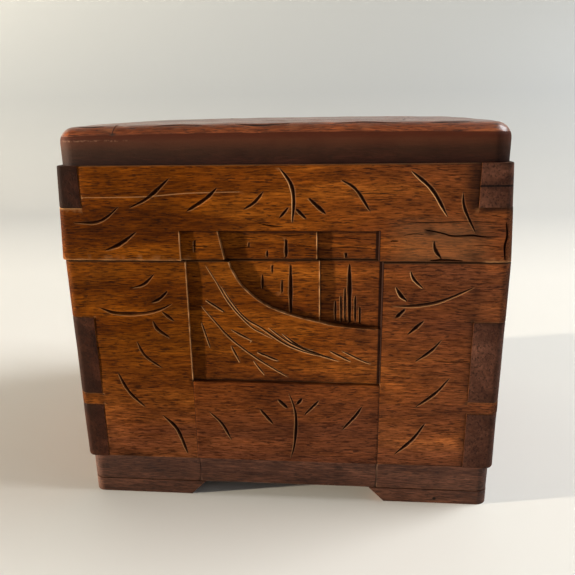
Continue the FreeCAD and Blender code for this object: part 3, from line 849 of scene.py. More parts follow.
def front_height(p):
    depth, stain_and_shade, wear_and_glint, inside, sky = with_panel(p, PANEL_X0, PANEL_X1, PANEL_Z0 - 5, Z_BODY, front_contour, STEP_X, True, True)
    depth = depth + 0.10 * wobble(p[:, 0], p[:, 1], 22, 1) * (1 - inside) + 0.1
    end = np.minimum(p[:, 0] - BX0, BX1 - p[:, 0])
    depth = depth + rounding(end, CORNER)
    stain_and_shade = np.maximum(stain_and_shade, side_smear(p, XI0, XI1) * (1 - inside))
    stain_and_shade = np.maximum(np.maximum(stain_and_shade, corner_dirt(end, p)), lid_line(p[:, 1], Z_BODY))
    # Painted shade, darker towards the left.
    stain_and_shade = np.maximum(stain_and_shade, 1.15 * painted_left_shade(p))
    x, z = p[:, 0], p[:, 1]
    # Painted shade: darker over the last few millimetres of the left end.
    stain_and_shade = np.maximum(stain_and_shade, 0.62 * np.clip((BX0 + 6.5 - x) / 4.0, 0, 1))
    eye = np.hypot((x + 42.7) / 3.6, (z - 38.0) / 1.8)
    stain_and_shade = np.maximum(stain_and_shade, np.clip(1.6 - eye, 0, 1) * (0.5 + 0.25 * np.cos(6.5 * eye)))
    foot = np.clip(1.2 - (z - Z_PLINTH) / 3.4, 0, 1) * np.clip(1.2 - np.abs(x + 57) / 9, 0, 1)
    split = np.clip(1.5 - (z - Z_PLINTH) / 0.55, 0, 1) * (x > 36) * np.clip(0.7 + 0.7 * wobble(x, z, 7, 53), 0, 1)
    stain_and_shade = np.maximum(stain_and_shade, split)
    stain_and_shade = np.maximum(stain_and_shade, foot * np.clip(0.8 + 0.4 * wobble(x, z, 5, 49), 0, 1))
    return combine(p, body_cuts + panel_cuts + body_cracks, (depth, stain_and_shade, wear_and_glint))


panel_lines = [
    clipped(front_contour, PANEL_X0, PANEL_X1, PANEL_Z0, Z_BODY),
    clipped(offset_line(front_contour, 0.3), PANEL_X0, PANEL_X1, PANEL_Z0, Z_BODY),
    clipped(offset_line(front_contour, -0.3), PANEL_X0, PANEL_X1, PANEL_Z0, Z_BODY),
    clipped(offset_line(front_contour, -0.14), PANEL_X0, PANEL_X1, PANEL_Z0, Z_BODY),
    clipped(offset_line(front_contour, 1.0), PANEL_X0, PANEL_X1, PANEL_Z0, Z_BODY),
]
for k in (-0.3, -0.14, 0.0, 0.25, 0.95):
    panel_lines.append(straight((STEP_X + k, 70.2), (STEP_X + k, Z_BODY - 0.01)))
for k in (-0.3, -0.14, 0.0, 0.16, 0.66):
    panel_lines.append(straight((PANEL_X0 + k, PANEL_Z0 - max(0, -k)), (PANEL_X0 + k, Z_BODY)))
    panel_lines.append(straight((PANEL_X1 - k, PANEL_Z0 - max(0, -k)), (PANEL_X1 - k, Z_BODY)))
for k in (0.95, 1.25):
    panel_lines.append(straight((PANEL_X1 - k, PANEL_Z0), (PANEL_X1 - k, Z_BODY)))
front_lines = [q for s in body_cuts + panel_cuts + body_cracks for q in s.lines()] + panel_lines
front_spots = [(x, z) for x in np.arange(-47.5, -37.5, 0.55) for z in np.arange(35.2, 41.0, 0.45)]
front_spots += [(x, z) for x in np.arange(-68.0, -45.0, 0.9) for z in np.arange(16.7, 21.0, 0.6)]
front_spots += [(x, z) for x in np.arange(36.5, 64.0, 1.0) for z in (16.65, 16.95, 17.25)]
front_spots += [(x, z) for x in np.arange(-31.5, 34.0, 1.0) for z in (48.5, 49.3, 50.2, 51.2, 52.2)]
front = board(
    "front_board.carved",
    fingers_outline(BX0, BX1, Z_PLINTH, Z_BODY, BODY_SIDE, (PANEL_X0, PANEL_X1, PANEL_Z0)),
    on_front,
    YI0 - YF,
    front_height,
    front_lines,
    spots=front_spots,
    ulines=round_lines(BX0, 1, CORNER) + round_lines(BX1, -1, CORNER),
    mats=(front_wood, end_wood_x),
    wall_mat=end_walls_front,
    soft=[(0, BX0), (0, BX1), (0, PANEL_X0), (0, PANEL_X1)],
)
stands_for(front, "front_board")

# Lid front. Its ends lean in, so the height field is drawn on a straight outline that is drawn in with height.
lid_cuts = strokes_of(LID_STROKES)
# Two lid strokes get a strong painted glint.
lid_cuts[4].bright = lid_cuts[9].bright = 0.9
lid_panel_cuts = [Stroke(q, w, 0.55, 0.25) for q, w in LID_UPRIGHTS]
lid_cracks = [
    Crack([(46.5, 103.0), (52, 101.9), (56, 100.9), (62, 101.1), (66, 100.6), (70.8, 100.7)], 0.6),
    Crack([(38.9, 105.6), (48, 105.2), (58, 105.5), (70.1, 105.3)], 0.3),
    Crack([(-7.1, 105.1), (-3, 104.2), (1.7, 103.8)], 0.45),
    Crack([(36.0, 99.2), (39.0, 99.2)], 0.5),
    Crack([(49.0, 92.75), (54, 92.95), (60.0, 92.7)], 0.7),
    Crack([(72.8, 92.6), (72.5, 97.5), (73.1, 101), (72.6, 105.5)], 0.8),
    Crack([(62, 97.6), (66, 97.9), (71, 97.3)], 0.2),
    Crack([(22, 114.2), (30, 114.6), (38, 114.1)], 0.2),
    Crack([(40, 101.0), (44, 101.6), (47, 101.2)], 0.25),
    Crack([(-15.5, 99.6), (-11, 99.9), (-7, 99.4)], 0.3),
    Crack([(-1.5, 100.6), (3, 100.3), (8.5, 100.7)], 0.3),
    Crack([(-14, 96.2), (-8, 96.5)], 0.25),
    Crack([(5.0, 97.0), (11.0, 96.7)], 0.3),
    Crack([(15.5, 99.2), (21, 99.5), (27, 99.0)], 0.3),
    Crack([(16.5, 95.9), (24, 96.3), (31, 95.8)], 0.25),
    Crack([(-31, 97.3), (-26, 97.0), (-22.5, 97.3)], 0.25),
    Scratch([(-65.6, 113.5), (-45, 113.7), (-30, 114.8), (-12.1, 115.2)], 0.22),
]


def lid_front_height(p):
    depth, stain_and_shade, wear_and_glint, inside, sky = with_panel(p, LP_X0, LP_X1, Z_LID - 5, LP_Z1, lid_contour, LID_STEP_X, True, False)
    depth = depth + 0.10 * wobble(p[:, 0], p[:, 1], 20, 2) * (1 - inside) + 0.1
    end = np.minimum(p[:, 0] - LX0, LX1 - p[:, 0])
    depth = depth + rounding(end, CORNER)
    stain_and_shade = np.maximum(stain_and_shade, side_smear(p, XI0, LXI1) * (1 - inside))
    stain_and_shade = np.maximum(np.maximum(stain_and_shade, corner_dirt(end, p)), lid_line(p[:, 1], Z_LID) * (p[:, 0] > -30) * (p[:, 0] < 66))
    # Painted shade darker towards the left, and a dark line along the top edge.
    stain_and_shade = np.maximum(np.maximum(stain_and_shade, painted_left_shade(p)), lid_line(p[:, 1], Z_FRAME) * 0.7)
    gx, gz = np.clip((p[:, 0] - 57.2 - 0.8 * wobble(p[:, 0], p[:, 1], 9, 47)) / 4.0, 0, 1), np.clip((p[:, 1] - 107.4 - 0.6 * wobble(p[:, 0], p[:, 1], 6, 48)) / 2.0, 0, 1)
    stain_and_shade = np.maximum(stain_and_shade, (gx * gz) * np.clip(0.9 + 0.2 * wobble(p[:, 0], p[:, 1], 5, 37), 0, 1) * (1 - inside))
    x, z = p[:, 0], p[:, 1]
    bare = np.clip(1.25 - (z - Z_LID) / 0.4, 0, 1) * ((x < -31) | (x > 66)) * np.clip(0.6 + 0.8 * wobble(x, z, 6, 41), 0, 1)
    bare = np.maximum(bare, np.clip(1.2 - np.abs(z - 110.0) / 0.45, 0, 1) * (x < XI0) * 0.8)
    wear_and_glint = np.maximum(wear_and_glint, 0.8 * bare)
    # A faint paler tone at the lower right.
    pale_lower_right = np.clip((x - 34) / 8, 0, 1) * np.clip((70 - x) / 8, 0, 1) * np.clip((108 - z) / 5, 0, 1)
    wear_and_glint = np.maximum(wear_and_glint, 0.06 * pale_lower_right * (1 - inside))
    knot = np.hypot((p[:, 0] - 48.5) / 1.6, (p[:, 1] - 102.3) / 0.9)
    stain_and_shade = np.maximum(stain_and_shade, np.clip(1.4 - knot, 0, 0.75))
    return combine(p, lid_cuts + lid_panel_cuts + lid_cracks, (depth, stain_and_shade, wear_and_glint))


def lean(u, v):
    """The lid's ends lean in: points beyond the side boards' inner faces are drawn in."""
    a, b = lid_edges(v)
    if u < XI0:
        return XI0 + (u - XI0) * (a - XI0) / (LX0 - XI0)
    if u > LXI1:
        return LXI1 + (u - LXI1) * (b - LXI1) / (LX1 - LXI1)
    return u


lid_panel_lines = [
    clipped(q, LP_X0, LP_X1, Z_LID, LP_Z1)
    for q in (lid_contour, offset_line(lid_contour, 0.3), offset_line(lid_contour, -0.3), offset_line(lid_contour, -0.14), offset_line(lid_contour, 1.0))
]
for k in (-0.3, -0.14, 0.0, 0.25, 0.95):
    lid_panel_lines.append(straight((LID_STEP_X + k, Z_LID + 0.01), (LID_STEP_X + k, LP_Z1)))
for k in (-0.3, -0.14, 0.0, 0.16, 0.66):
    lid_panel_lines.append(straight((LP_X0 + k, Z_LID), (LP_X0 + k, LP_Z1 - k)))
    lid_panel_lines.append(straight((LP_X1 - k, Z_LID), (LP_X1 - k, LP_Z1 - k)))
    lid_panel_lines.append(straight((LP_X0 + k, LP_Z1 - k), (LP_X1 - k, LP_Z1 - k)))
for k in (0.95, 1.25):
    lid_panel_lines.append(straight((LP_X1 - k, Z_LID), (LP_X1 - k, LP_Z1 - 0.16)))
lid_front = board(
    "lid_front_board.carved",
    fingers_outline(LX0, LX1, Z_LID, Z_FRAME, LID_SIDE, None, LXI1),
    lambda u, v, d: on_front(lean(u, v), v, d),
    YI0 - YF,
    lid_front_height,
    [q for s in lid_cuts + lid_panel_cuts + lid_cracks for q in s.lines()] + lid_panel_lines,
    ulines=round_lines(LX0, 1, CORNER) + round_lines(LX1, -1, CORNER),
    mats=(lid_wood, end_wood_x),
    wall_mat=end_walls_front,
    soft=[(0, LX0), (0, LX1)],
)
stands_for(lid_front, "lid_front_board")

# Drawer front.
drawer_cuts = strokes_of(DRAWER_STROKES)


def drawer_height(p):
    depth = 0.10 * wobble(p[:, 0], p[:, 1], 22, 1) + 0.1
    zero = np.zeros(len(p))
    tone = np.clip(0.16 + 0.12 * wobble(p[:, 0], p[:, 1], 18, 51), 0, 1)
    return combine(p, drawer_cuts, (depth, tone, zero))


dx0, dx1, dz1 = PANEL_X0 + 0.1, PANEL_X1 - 0.1, PANEL_Z0 - 0.3
drawer_front = board(
    "drawer_front.carved",
    [(dx0, Z_PLINTH + 0.12), (dx1, Z_PLINTH + 0.12), (dx1, dz1), (dx0, dz1)],
    on_front,
    YI0 - YF,
    drawer_height,
    [q for s in drawer_cuts for q in s.lines()],
    mats=(drawer_wood, end_wood_x),
    wall_mat=end_walls_front,
    rim=0.12,
    edge_wear=0.0,
    joint=0.0,
)
stands_for(drawer_front, "drawer_front")


# ------------------------------------------------------- side boards, left, right
def side_outline(spans, z0, z1):
    """A side board seen from outside, from front to back, with the front and back boards' fingers taken out."""
    pts = []
    z = z0
    spans = sorted(spans)
    first_in = any(abs(a - z0) < 1e-6 for a, _ in spans)
    pts_b = [(YI1 if first_in else YB, z0)]
    for a, b in spans:
        if a > z0 + 1e-6:
            pts_b += [(YB, a), (YI1, a)]
        if b < z1 - 1e-6:
            pts_b += [(YI1, b), (YB, b)]
    end_in = any(abs(b - z1) < 1e-6 for _, b in spans)
    pts_b.append((YI1 if end_in else YB, z1))
    pts_f = [((YF if y == YB else YI0), zz) for y, zz in pts_b]
    return [pts_f[0]] + pts_b + list(reversed(pts_f[1:]))


BODY_END = [(37.7, 42.3), (71.5, Z_BODY)]
LID_END = [(Z_LID, 110.0)]


def spray(cu, cv, angle, length, pairs=3, bend=0.12):
    """A stem with pairs of leaf strokes that turn away from it."""
    d = np.array([math.cos(angle), math.sin(angle)])
    n = np.array([-d[1], d[0]])
    c = np.array([cu, cv])
    at = lambda t: c + d * length * (t - 0.5) + n * length * bend * (1 - (2 * t - 1) ** 2)
    out = [[tuple(at(t)) for t in (0.0, 0.35, 0.7, 1.0)]]
    for k in range(pairs):
        t = 0.25 + 0.62 * k / max(1, pairs - 1)
        for sgn in (-1, 1):
            a = at(t) + n * sgn * 1.6 + d * 0.8 * sgn
            reach = length * (0.34 - 0.06 * k)
            b = a + d * reach * 0.62 + n * sgn * reach * 0.72
            m = (a + b) / 2 + d * sgn * 0.0 - n * sgn * reach * 0.08
            out.append([tuple(a), tuple(m), tuple(b)])
    return out


def inside_box(strokes, u0, u1, v0, v1):
    keep = []
    for q in strokes:
        a = np.array(q)
        if a[:, 0].min() > u0 and a[:, 0].max() < u1 and a[:, 1].min() > v0 and a[:, 1].max() < v1:
            keep.append(q)
    return keep


def side_piece(node, left, z0, z1, spans, x_face, seed, lid=False, cuts=()):
    sign = -1 if left else 1  # u runs to the viewer's right, so along -Y on the left

    def to3d(u, v, d):
        y = u if not left else -u
        f = (v - Z_LID) / (Z_FRAME - Z_LID) * BATTER if lid else 0.0
        inner = XI0 if left else (LXI1 if lid else XI1)
        thick = abs(inner - x_face)
        d = f + d * (thick - f) / thick
        return (x_face + d if left else x_face - d, y, v)

    outline = side_outline(spans, z0, z1)
    if left:
        outline = [(-y, z) for y, z in reversed(outline)]
    strokes = strokes_of(cuts)

    def height(p):
        y = p[:, 0] if not left else -p[:, 0]
        depth = 0.10 * wobble(p[:, 0], p[:, 1], 22, seed) + 0.1
        end = np.minimum(y - YF, YB - y)
        depth = depth + rounding(end, CORNER)
        g = np.minimum(np.abs(y - YI0), np.abs(y - YI1))
        smear_and_shade = np.clip(1 - g / 6.0, 0, 1) ** 2 * (0.25 + 0.25 * wobble(p[:, 0], p[:, 1], 6, seed + 1))
        smear_and_shade = np.maximum(smear_and_shade, lid_line(p[:, 1], Z_LID if lid else Z_BODY) * 0.9)
        zero = np.zeros(len(p))
        # Painted shade: the left side boards are darker all over, against the strong light from the left.
        if left:
            smear_and_shade = np.maximum(smear_and_shade, 0.56 * (0.85 + 0.25 * wobble(p[:, 0], p[:, 1], 28, seed + 2)))
        return combine(p, strokes, (depth, smear_and_shade, zero))

    rl = round_lines(YF, 1, CORNER) + round_lines(YB, -1, CORNER)
    ob = board(
        node + ".carved",
        outline,
        to3d,
        abs((XI0 if left else (LXI1 if lid else XI1)) - x_face),
        height,
        [q for s in strokes for q in s.lines()],
        ulines=[-k for k in rl] if left else rl,
        mats=(side_wood, (end_wood_left_shaded if lid else end_wood_y) if left else end_wood_right_sheen),
        face_mat=lambda c: 1 if abs(c[0]) > YB - 0.6 * CORNER else 0,
        wall_mat=end_walls_front,
        soft=[(0, YF), (0, YB)],
        edge_wear=0.03,
        joint=0.9,
    )
    return stands_for(ob, node)


def body_side_cuts(flip):
    m = -1 if flip else 1
    got = spray(0, 46, math.pi / 2, 40, 4, 0.06 * m) + spray(-33 * m, 30, math.pi / 2 + 0.5 * m, 26, 2, 0.1 * m) + spray(33 * m, 32, math.pi / 2 - 0.5 * m, 26, 2, -0.1 * m)
    got += [[(-40, 74), (-34, 77.5), (-27, 83)], [(27, 83), (33, 77), (41, 73.5)], [(-14, 78), (-9, 81), (-5.5, 86)], [(7, 86), (10, 81.5), (15, 78)], [(-47, 58), (-42.5, 62), (-40, 68)], [(46.5, 56), (43, 61), (39, 65)]]
    return inside_box(got, -49, 49, Z_PLINTH + 2, Z_BODY - 2)


def lid_side_cuts(flip):
    m = -1 if flip else 1
    got = spray(0, 107, math.pi / 2, 20, 2, 0.08 * m)
    for x in (-40, -24, 24, 40):
        k = 1 if x < 0 else -1
        got.append([(x - 5, 104 - 3 * k * 0.5), (x, 107), (x + 5, 107 + 6 * k)] if k > 0 else [(x - 5, 113), (x, 107.5), (x + 5, 102.5)])
    return inside_box(got, -49, 49, Z_LID + 1.5, Z_FRAME - 1.5)


side_piece("left_board", True, Z_PLINTH, Z_BODY, BODY_END, BX0, 21, cuts=body_side_cuts(False))
side_piece("right_board", False, Z_PLINTH, Z_BODY, BODY_END, BX1, 22, cuts=body_side_cuts(True))
side_piece("lid_left_board", True, Z_LID, Z_FRAME, LID_END, LX0, 23, lid=True, cuts=lid_side_cuts(False))
side_piece("lid_right_board", False, Z_LID, Z_FRAME, LID_END, LX1, 24, lid=True, cuts=lid_side_cuts(True))


# ------------------------------------------------------------------- top board
TX0, TX1, TY0, TY1, TR, TOP_ROUND = LX0 + 2.5, LX1 - 2.5, YF + 0.8, YB - 0.8, 6.0, 5.0


def rounded_loop(inset, n=9):
    x0, x1, y0, y1, r = TX0 + inset, TX1 - inset, TY0 + inset, TY1 - inset, max(TR - inset, 0.8)
    out = []
    for cx, cy, a in ((x1 - r, y0 + r, -90), (x1 - r, y1 - r, 0), (x0 + r, y1 - r, 90), (x0 + r, y0 + r, 180)):
        for k in range(n):
            t = math.radians(a + 90 * k / (n - 1))
            out.append((cx + r * math.cos(t), cy + r * math.sin(t)))
    return out


def rounded_gap(p):
    """How far points lie inside the top's outline."""
    cx, cy = (TX0 + TX1) / 2, (TY0 + TY1) / 2
    hx, hy = (TX1 - TX0) / 2 - TR, (TY1 - TY0) / 2 - TR
    qx, qy = np.abs(p[:, 0] - cx) - hx, np.abs(p[:, 1] - cy) - hy
    outside = np.hypot(np.maximum(qx, 0), np.maximum(qy, 0))
    return TR - outside - np.minimum(np.maximum(qx, qy), 0)


def densify(loop, step=2.0):
    q = np.array(loop + loop[:1])
    out = []
    for a, b in zip(q, q[1:]):
        n = max(1, int(np.linalg.norm(b - a) / step))
        out.extend(a + (b - a) * k / n for k in range(n))
    return np.array(out)


top_art = spray(-26, 0, 0.25, 60, 4, 0.1) + spray(36, 6, 2.3, 44, 3, -0.1) + spray(4, -38, 0.1, 46, 3, 0.05) + spray(-42, 36, -0.4, 34, 3, 0.08) + spray(46, -32, 1.2, 32, 3, 0.08) + spray(12, 38, 3.3, 40, 3, 0.06)
top_art += [[(-66, -50), (-60, -53), (-53, -54)], [(-46, -56), (-38, -54), (-31, -50)], [(-24, -55.5), (-16, -54), (-8, -55)], [(26, -55), (33, -53), (41, -54.5)], [(50, -50), (56, -53), (63, -54)], [(-62, -40), (-56, -44), (-48, -46)], [(30, -46), (24, -49), (16, -50)]]
top_cuts = strokes_of(inside_box(top_art, -67, 67, -57, 57), 1.5)
top_cuts += strokes_of([[(-66.5, -57.4), (-62, -58.4), (-56.5, -58.6)], [(-41, -58.9), (-33, -58.2), (-24, -58.8)], [(-14, -58.4), (-5, -59.0), (4, -58.5)], [(17, -58.8), (28, -58.1), (39, -58.7)], [(47, -58.6), (54, -58.2), (61, -57.4)]], 1.1)
top_cracks = [
    Crack([(-53.5, -61.5), (-53.0, -57), (-53.8, -50)], 0.5),
    Crack([(-20, -30), (0, -29.2), (26, -30.5)], 0.3),
    Crack([(10, 22), (32, 22.8), (50, 21.9)], 0.25),
]


def top_height(p):
    gap = np.maximum(rounded_gap(p), 0)
    depth = rounding(gap, TOP_ROUND)
    x, y = p[:, 0] / 73, p[:, 1] / 61.7
    depth = depth + 0.7 * np.clip(np.abs(x), 0, 1) ** 3 + 0.4 * np.clip(np.abs(y), 0, 1) ** 3 + 0.15 * wobble(p[:, 0], p[:, 1], 20, 9) + 0.15
    depth = depth + 0.12 * np.clip(wobble(p[:, 0], p[:, 1], 6, 15), 0, 1) * np.clip(1 - np.abs(gap - 2.0) / 2.5, 0, 1)
    pale_marks = np.clip(1 - np.abs(gap - 1.8) / 1.2, 0, 1) * np.clip(1.2 * wobble(p[:, 0], p[:, 1], 9, 14) - 0.1, 0, 1)
    darkening = np.clip((0.8 - gap) / 0.8, 0, 1) * 0.6 + 0.16 * np.clip(wobble(p[:, 0], p[:, 1], 12, 16), 0, 1)
    return combine(p, top_cuts + top_cracks, (depth, np.clip(darkening, 0, 0.92), pale_marks * 0.5))


top_lines = [q for s in top_cuts + top_cracks for q in s.lines()]
for inset in (0.12, 0.3, 0.5, 0.8, 1.2, 1.9, 2.9, 4.0, 5.0, 6.5):
    loop = densify(rounded_loop(inset))
    top_lines.append(np.vstack([loop, loop[:1]]))
top = board(
    "lid_top_board.carved",
    [tuple(q) for q in rounded_loop(0.0)],
    lambda u, v, d: (u, v, Z_TOP - d),
    Z_TOP - Z_FRAME,
    top_height,
    top_lines,
    spacing=2.0,
    mats=(top_wood, top_edge),
    face_mat=lambda c: 1 if rounded_gap(np.array([c]))[0] < 0.5 else 0,
    wall_mat=lambda way: 1,
    rim=0.01,
    joint=0.0,
    inner_stain=0.5,
)
stands_for(top, "lid_top_board")


# ---------------------------------------------------------------------- plinth
def plinth_height(left, right, r, seed, seam=None):
    def f(p):
        depth = 0.12 * wobble(p[:, 0], p[:, 1], 16, seed) + 0.12
        if left is not None:
            depth = depth + rounding(np.abs(p[:, 0] - left), r)
        if right is not None:
            depth = depth + rounding(np.abs(p[:, 0] - right), r)
        stain_and_shade = np.clip(0.3 * wobble(p[:, 0], p[:, 1], 12, seed + 3), 0, 1)
        wear_and_glint = 0.55 * np.clip(1.3 - (p[:, 1] - Z_FOOT) / 0.5, 0, 1) * np.clip(1.6 * wobble(p[:, 0], p[:, 1], 9, seed + 7) - 0.15, 0, 1)
        if seam is not None:
            wear_and_glint = wear_and_glint + np.clip(1.2 - np.abs(p[:, 0] - seam) / 0.4, 0, 1) * np.clip(0.6 + wobble(p[:, 0], p[:, 1], 3, seed + 5), 0, 1)
        return depth, stain_and_shade, wear_and_glint

    return f


def plinth_piece(node, u0, u1, to3d, mat, end, left=None, right=None, seed=1, seam=None):
    ul = (round_lines(left, 1, 4.0) if left is not None else []) + (round_lines(right, -1, 4.0) if right is not None else [])
    soft = [(0, q) for q in (left, right) if q is not None] + [(0, q) for q in (-31.7, 34.0, -31.6, 33.9)]
    ob = board(
        node + ".wood",
        [(u0, Z_FOOT), (u1, Z_FOOT), (u1, Z_PLINTH), (u0, Z_PLINTH)],
        to3d,
        8.0,
        plinth_height(left, right, 4.0, seed, seam),
        ulines=ul,
        mats=(mat, end),
        wall_mat=end_walls_front,
        rim=0.6,
        soft=soft,
        joint=0.45,
    )
    return stands_for(ob, node)


plinth_front = lambda u, v, d: (u, PY0 + d, v)
plinth_piece("plinth_front_left", PX0, -31.7, plinth_front, plinth_x, end_wood_x, left=PX0, seed=51)
plinth_piece("plinth_front_right", 34.0, PX1, plinth_front, plinth_x, end_wood_x, right=PX1, seed=52, seam=34.0)
plinth_piece("drawer_plinth_strip", -31.6, 33.9, plinth_front, plinth_x, end_wood_x, seed=53)
plinth_piece("plinth_back", -PX1, -PX0, lambda u, v, d: (-u, PY1 - d, v), plinth_x, end_wood_x, left=-PX1, right=-PX0, seed=54)
plinth_piece("plinth_left", -(PY1 - 8), -(PY0 + 8), lambda u, v, d: (PX0 + d, -u, v), plinth_y, end_wood_y, seed=55)
plinth_piece("plinth_right", PY0 + 8, PY1 - 8, lambda u, v, d: (PX1 - d, u, v), plinth_y, end_wood_y, seed=56)


# ---------------------------------------------------- pieces that keep CAD shape
def dress(node, mat, bevel=None):
    o = NODES[node]
    o.data.materials.clear()
    o.data.materials.append(mat)
    if bevel:
        b = o.modifiers.new("edge", "BEVEL")
        b.width = bevel * 0.001
        b.segments = 2
        b.limit_method = "ANGLE"
        b.angle_limit = math.radians(40)
    return o


for n in ("foot_front_left", "foot_front_right", "foot_rear_left", "foot_rear_right"):
    dress(n, foot_wood, 1.1)
for n in ("back_board", "lid_back_board"):
    dress(n, back_wood, 0.3)
for n in ("compartment_floor", "bottom_board", "drawer_stop", "drawer_back"):
    dress(n, inner_x, 0.3)
for n in ("drawer_guide_left", "drawer_guide_right", "drawer_left_side", "drawer_right_side", "drawer_bottom"):
    dress(n, inner_y, 0.3)
for n in NODES:
    if n.startswith("hinge_") or n.endswith("hinge_screws"):
        dress(n, brass)
dress("foot_brads", steel)


# ------------------------------------------------------------------------- felt
def felt_sheet(node, face_up, seed):
    lo, hi = (np.array(q) * 1000 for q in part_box(node))
    nx, ny = 60, 50
    xs, ys = np.linspace(lo[0], hi[0], nx + 1), np.linspace(lo[1], hi[1], ny + 1)
    gx, gy = np.meshgrid(xs, ys, indexing="ij")
    gap = np.minimum(np.minimum(gx - lo[0], hi[0] - gx), np.minimum(gy - lo[1], hi[1] - gy))
    swell = 0.16 * wobble(gx.ravel(), gy.ravel(), 18, seed).reshape(gx.shape) - 0.35 * np.clip(1 - gap / 1.2, 0, 1) - 0.16
    if face_up:
        top_z, low_z = hi[2] + swell, np.full_like(gx, lo[2])
    else:
        top_z, low_z = np.full_like(gx, hi[2]), lo[2] - swell
    n = (nx + 1) * (ny + 1)
    verts = np.vstack([np.c_[gx.ravel(), gy.ravel(), top_z.ravel()], np.c_[gx.ravel(), gy.ravel(), low_z.ravel()]])
    i = lambda a, b: a * (ny + 1) + b
    faces = []
    for a in range(nx):
        for b in range(ny):
            q = (i(a, b), i(a + 1, b), i(a + 1, b + 1), i(a, b + 1))
            faces.append(q)
            faces.append(tuple(n + k for k in reversed(q)))
    ring = [i(a, 0) for a in range(nx)] + [i(nx, b) for b in range(ny)] + [i(a, ny) for a in range(nx, 0, -1)] + [i(0, b) for b in range(ny, 0, -1)]
    for a, b in zip(ring, ring[1:] + ring[:1]):
        faces.append((b, a, n + a, n + b))
    mesh = bpy.data.meshes.new(node + ".cloth")
    mesh.from_pydata([tuple(q * 0.001) for q in verts], [], faces)
    mesh.materials.append(red_felt)
    mesh.polygons.foreach_set("use_smooth", np.ones(len(mesh.polygons), bool))
    mesh.set_sharp_from_angle(angle=math.radians(50))
    ob = bpy.data.objects.new(node + ".cloth", mesh)
    bpy.context.scene.collection.objects.link(ob)
    stands_for(ob, node)
    return ob


felt_sheet("floor_felt", True, 61)
felt_sheet("drawer_felt", True, 62)
felt_sheet("lid_felt", False, 63)

# ------------------------------------------------------------------------ stage
def stage_mesh(name, verts, faces, mat, smooth=False):
    mesh = bpy.data.meshes.new(name)
    mesh.from_pydata(verts, [], faces)
    mesh.materials.append(mat)
    if smooth:
        mesh.polygons.foreach_set("use_smooth", np.ones(len(mesh.polygons), bool))
    o = bpy.data.objects.new(name, mesh)
    bpy.context.scene.collection.objects.link(o)
    return o


floor_mat, ft = new_material("floor_pale")
fkn = Net(ft)
fo = fkn.add("ShaderNodeOutputMaterial")
fs = fkn.add("ShaderNodeBsdfPrincipled")
far = fkn.add("ShaderNodeSeparateXYZ")
fkn.link(fkn.add("ShaderNodeTexCoord").outputs["Object"], far.inputs[0])
fkn.link(fkn.mix(fkn.remap(far.outputs[1], 0.25, 0.9), (0.72, 0.69, 0.64, 1), (0.255, 0.265, 0.275, 1)), fs.inputs["Base Color"])
fs.inputs["Roughness"].default_value = 0.55
fkn.link(fs.outputs[0], fo.inputs["Surface"])
prof = [(-3.0, 0.0), (0.55, 0.0)] + [(0.55 + 0.45 * math.sin(math.radians(a)), 0.45 - 0.45 * math.cos(math.radians(a))) for a in range(6, 91, 6)] + [(1.0, 2.6)]
sv, sf = [], []
for i, (y, z) in enumerate(prof):
    sv += [(-3.0, y, z), (3.0, y, z)]
    if i:
        sf.append((2 * i - 2, 2 * i - 1, 2 * i + 1, 2 * i))
stage_mesh("floor_sweep", sv, sf, floor_mat, True)


def area(name, at, aim, size, power, colour=(1, 1, 1)):
    d = bpy.data.lights.new(name, "AREA")
    d.shape = "RECTANGLE"
    d.size, d.size_y = size
    d.energy = power
    d.color = colour
    o = bpy.data.objects.new(name, d)
    o.location = at
    o.rotation_mode = "QUATERNION"
    o.rotation_quaternion = (Vector(aim) - Vector(at)).to_track_quat("-Z", "Y")
    bpy.context.scene.collection.objects.link(o)
    return o


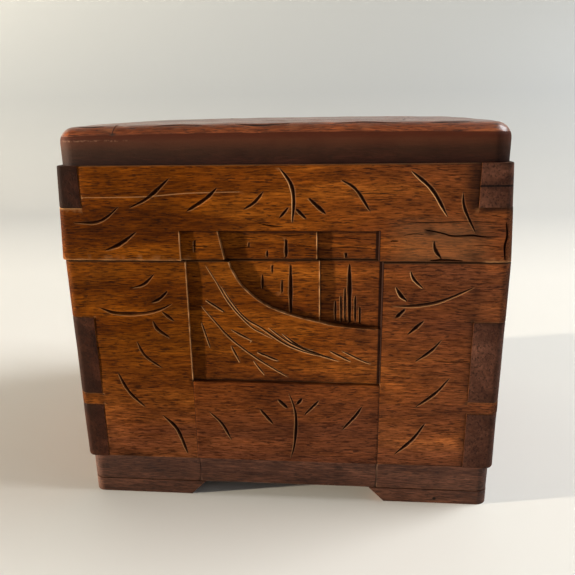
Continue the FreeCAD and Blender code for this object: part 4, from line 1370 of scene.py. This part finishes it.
area("window_right", (1.70, 0.25, 1.75), (0.0, 0.0, 0.06), (1.2, 1.2), 68.0, (0.95, 0.98, 1.0))
area("soft_front", (-0.35, -1.2, 0.75), (0.0, 0.0, 0.07), (1.0, 0.7), 0.3, (1.0, 0.96, 0.90))
area("cool_right", (1.30, -0.55, 0.60), (0.0, -0.03, 0.08), (0.5, 0.6), 1.6, (0.86, 0.93, 1.0))
area("graze_left", (-3.00, -0.64, 0.22), (0.0, -0.06, 0.075), (0.08, 0.2), 350.0, (1.0, 0.90, 0.72))
world = bpy.data.worlds.new("studio")
bpy.context.scene.world = world
world.use_nodes = True
wt = world.node_tree
wt.nodes.clear()
wk = Net(wt)
wo, wb = wk.add("ShaderNodeOutputWorld"), wk.add("ShaderNodeBackground")
up = wk.add("ShaderNodeSeparateXYZ")
wk.link(wk.add("ShaderNodeTexCoord").outputs["Generated"], up.inputs[0])
sky = wk.ramp(wk.remap(up.outputs[2], -0.1, 0.6), [(0.2, (0.60, 0.58, 0.54, 1)), (0.55, (0.20, 0.20, 0.20, 1)), (1.0, (0.11, 0.11, 0.11, 1))])
wk.link(sky, wb.inputs["Color"])
wb.inputs["Strength"].default_value = 1.0
wk.link(wb.outputs[0], wo.inputs["Surface"])

# ----------------------------------------------------------------------- camera
PITCH, YAW, ROLL = math.radians(16.659), math.radians(-5.0625), math.radians(0.901)
fwd = Vector((math.sin(YAW) * math.cos(PITCH), math.cos(YAW) * math.cos(PITCH), -math.sin(PITCH)))
right = Vector((math.cos(YAW), -math.sin(YAW), 0.0))
down = fwd.cross(right)
r2 = right * math.cos(ROLL) + down * math.sin(ROLL)
d2 = -right * math.sin(ROLL) + down * math.cos(ROLL)
cam = bpy.data.cameras.new("camera")
cam.sensor_width = 36.0
cam.lens = 36.0 * 595.0 / 575.0
cam.clip_start, cam.clip_end = 0.01, 20.0
co = bpy.data.objects.new("camera", cam)
co.matrix_world = Matrix(((r2.x, -d2.x, -fwd.x, 0.0194), (r2.y, -d2.y, -fwd.y, -0.252925), (r2.z, -d2.z, -fwd.z, 0.1404375), (0, 0, 0, 1)))
bpy.context.scene.collection.objects.link(co)
bpy.context.scene.camera = co
bpy.context.scene.view_settings.view_transform = "Standard"
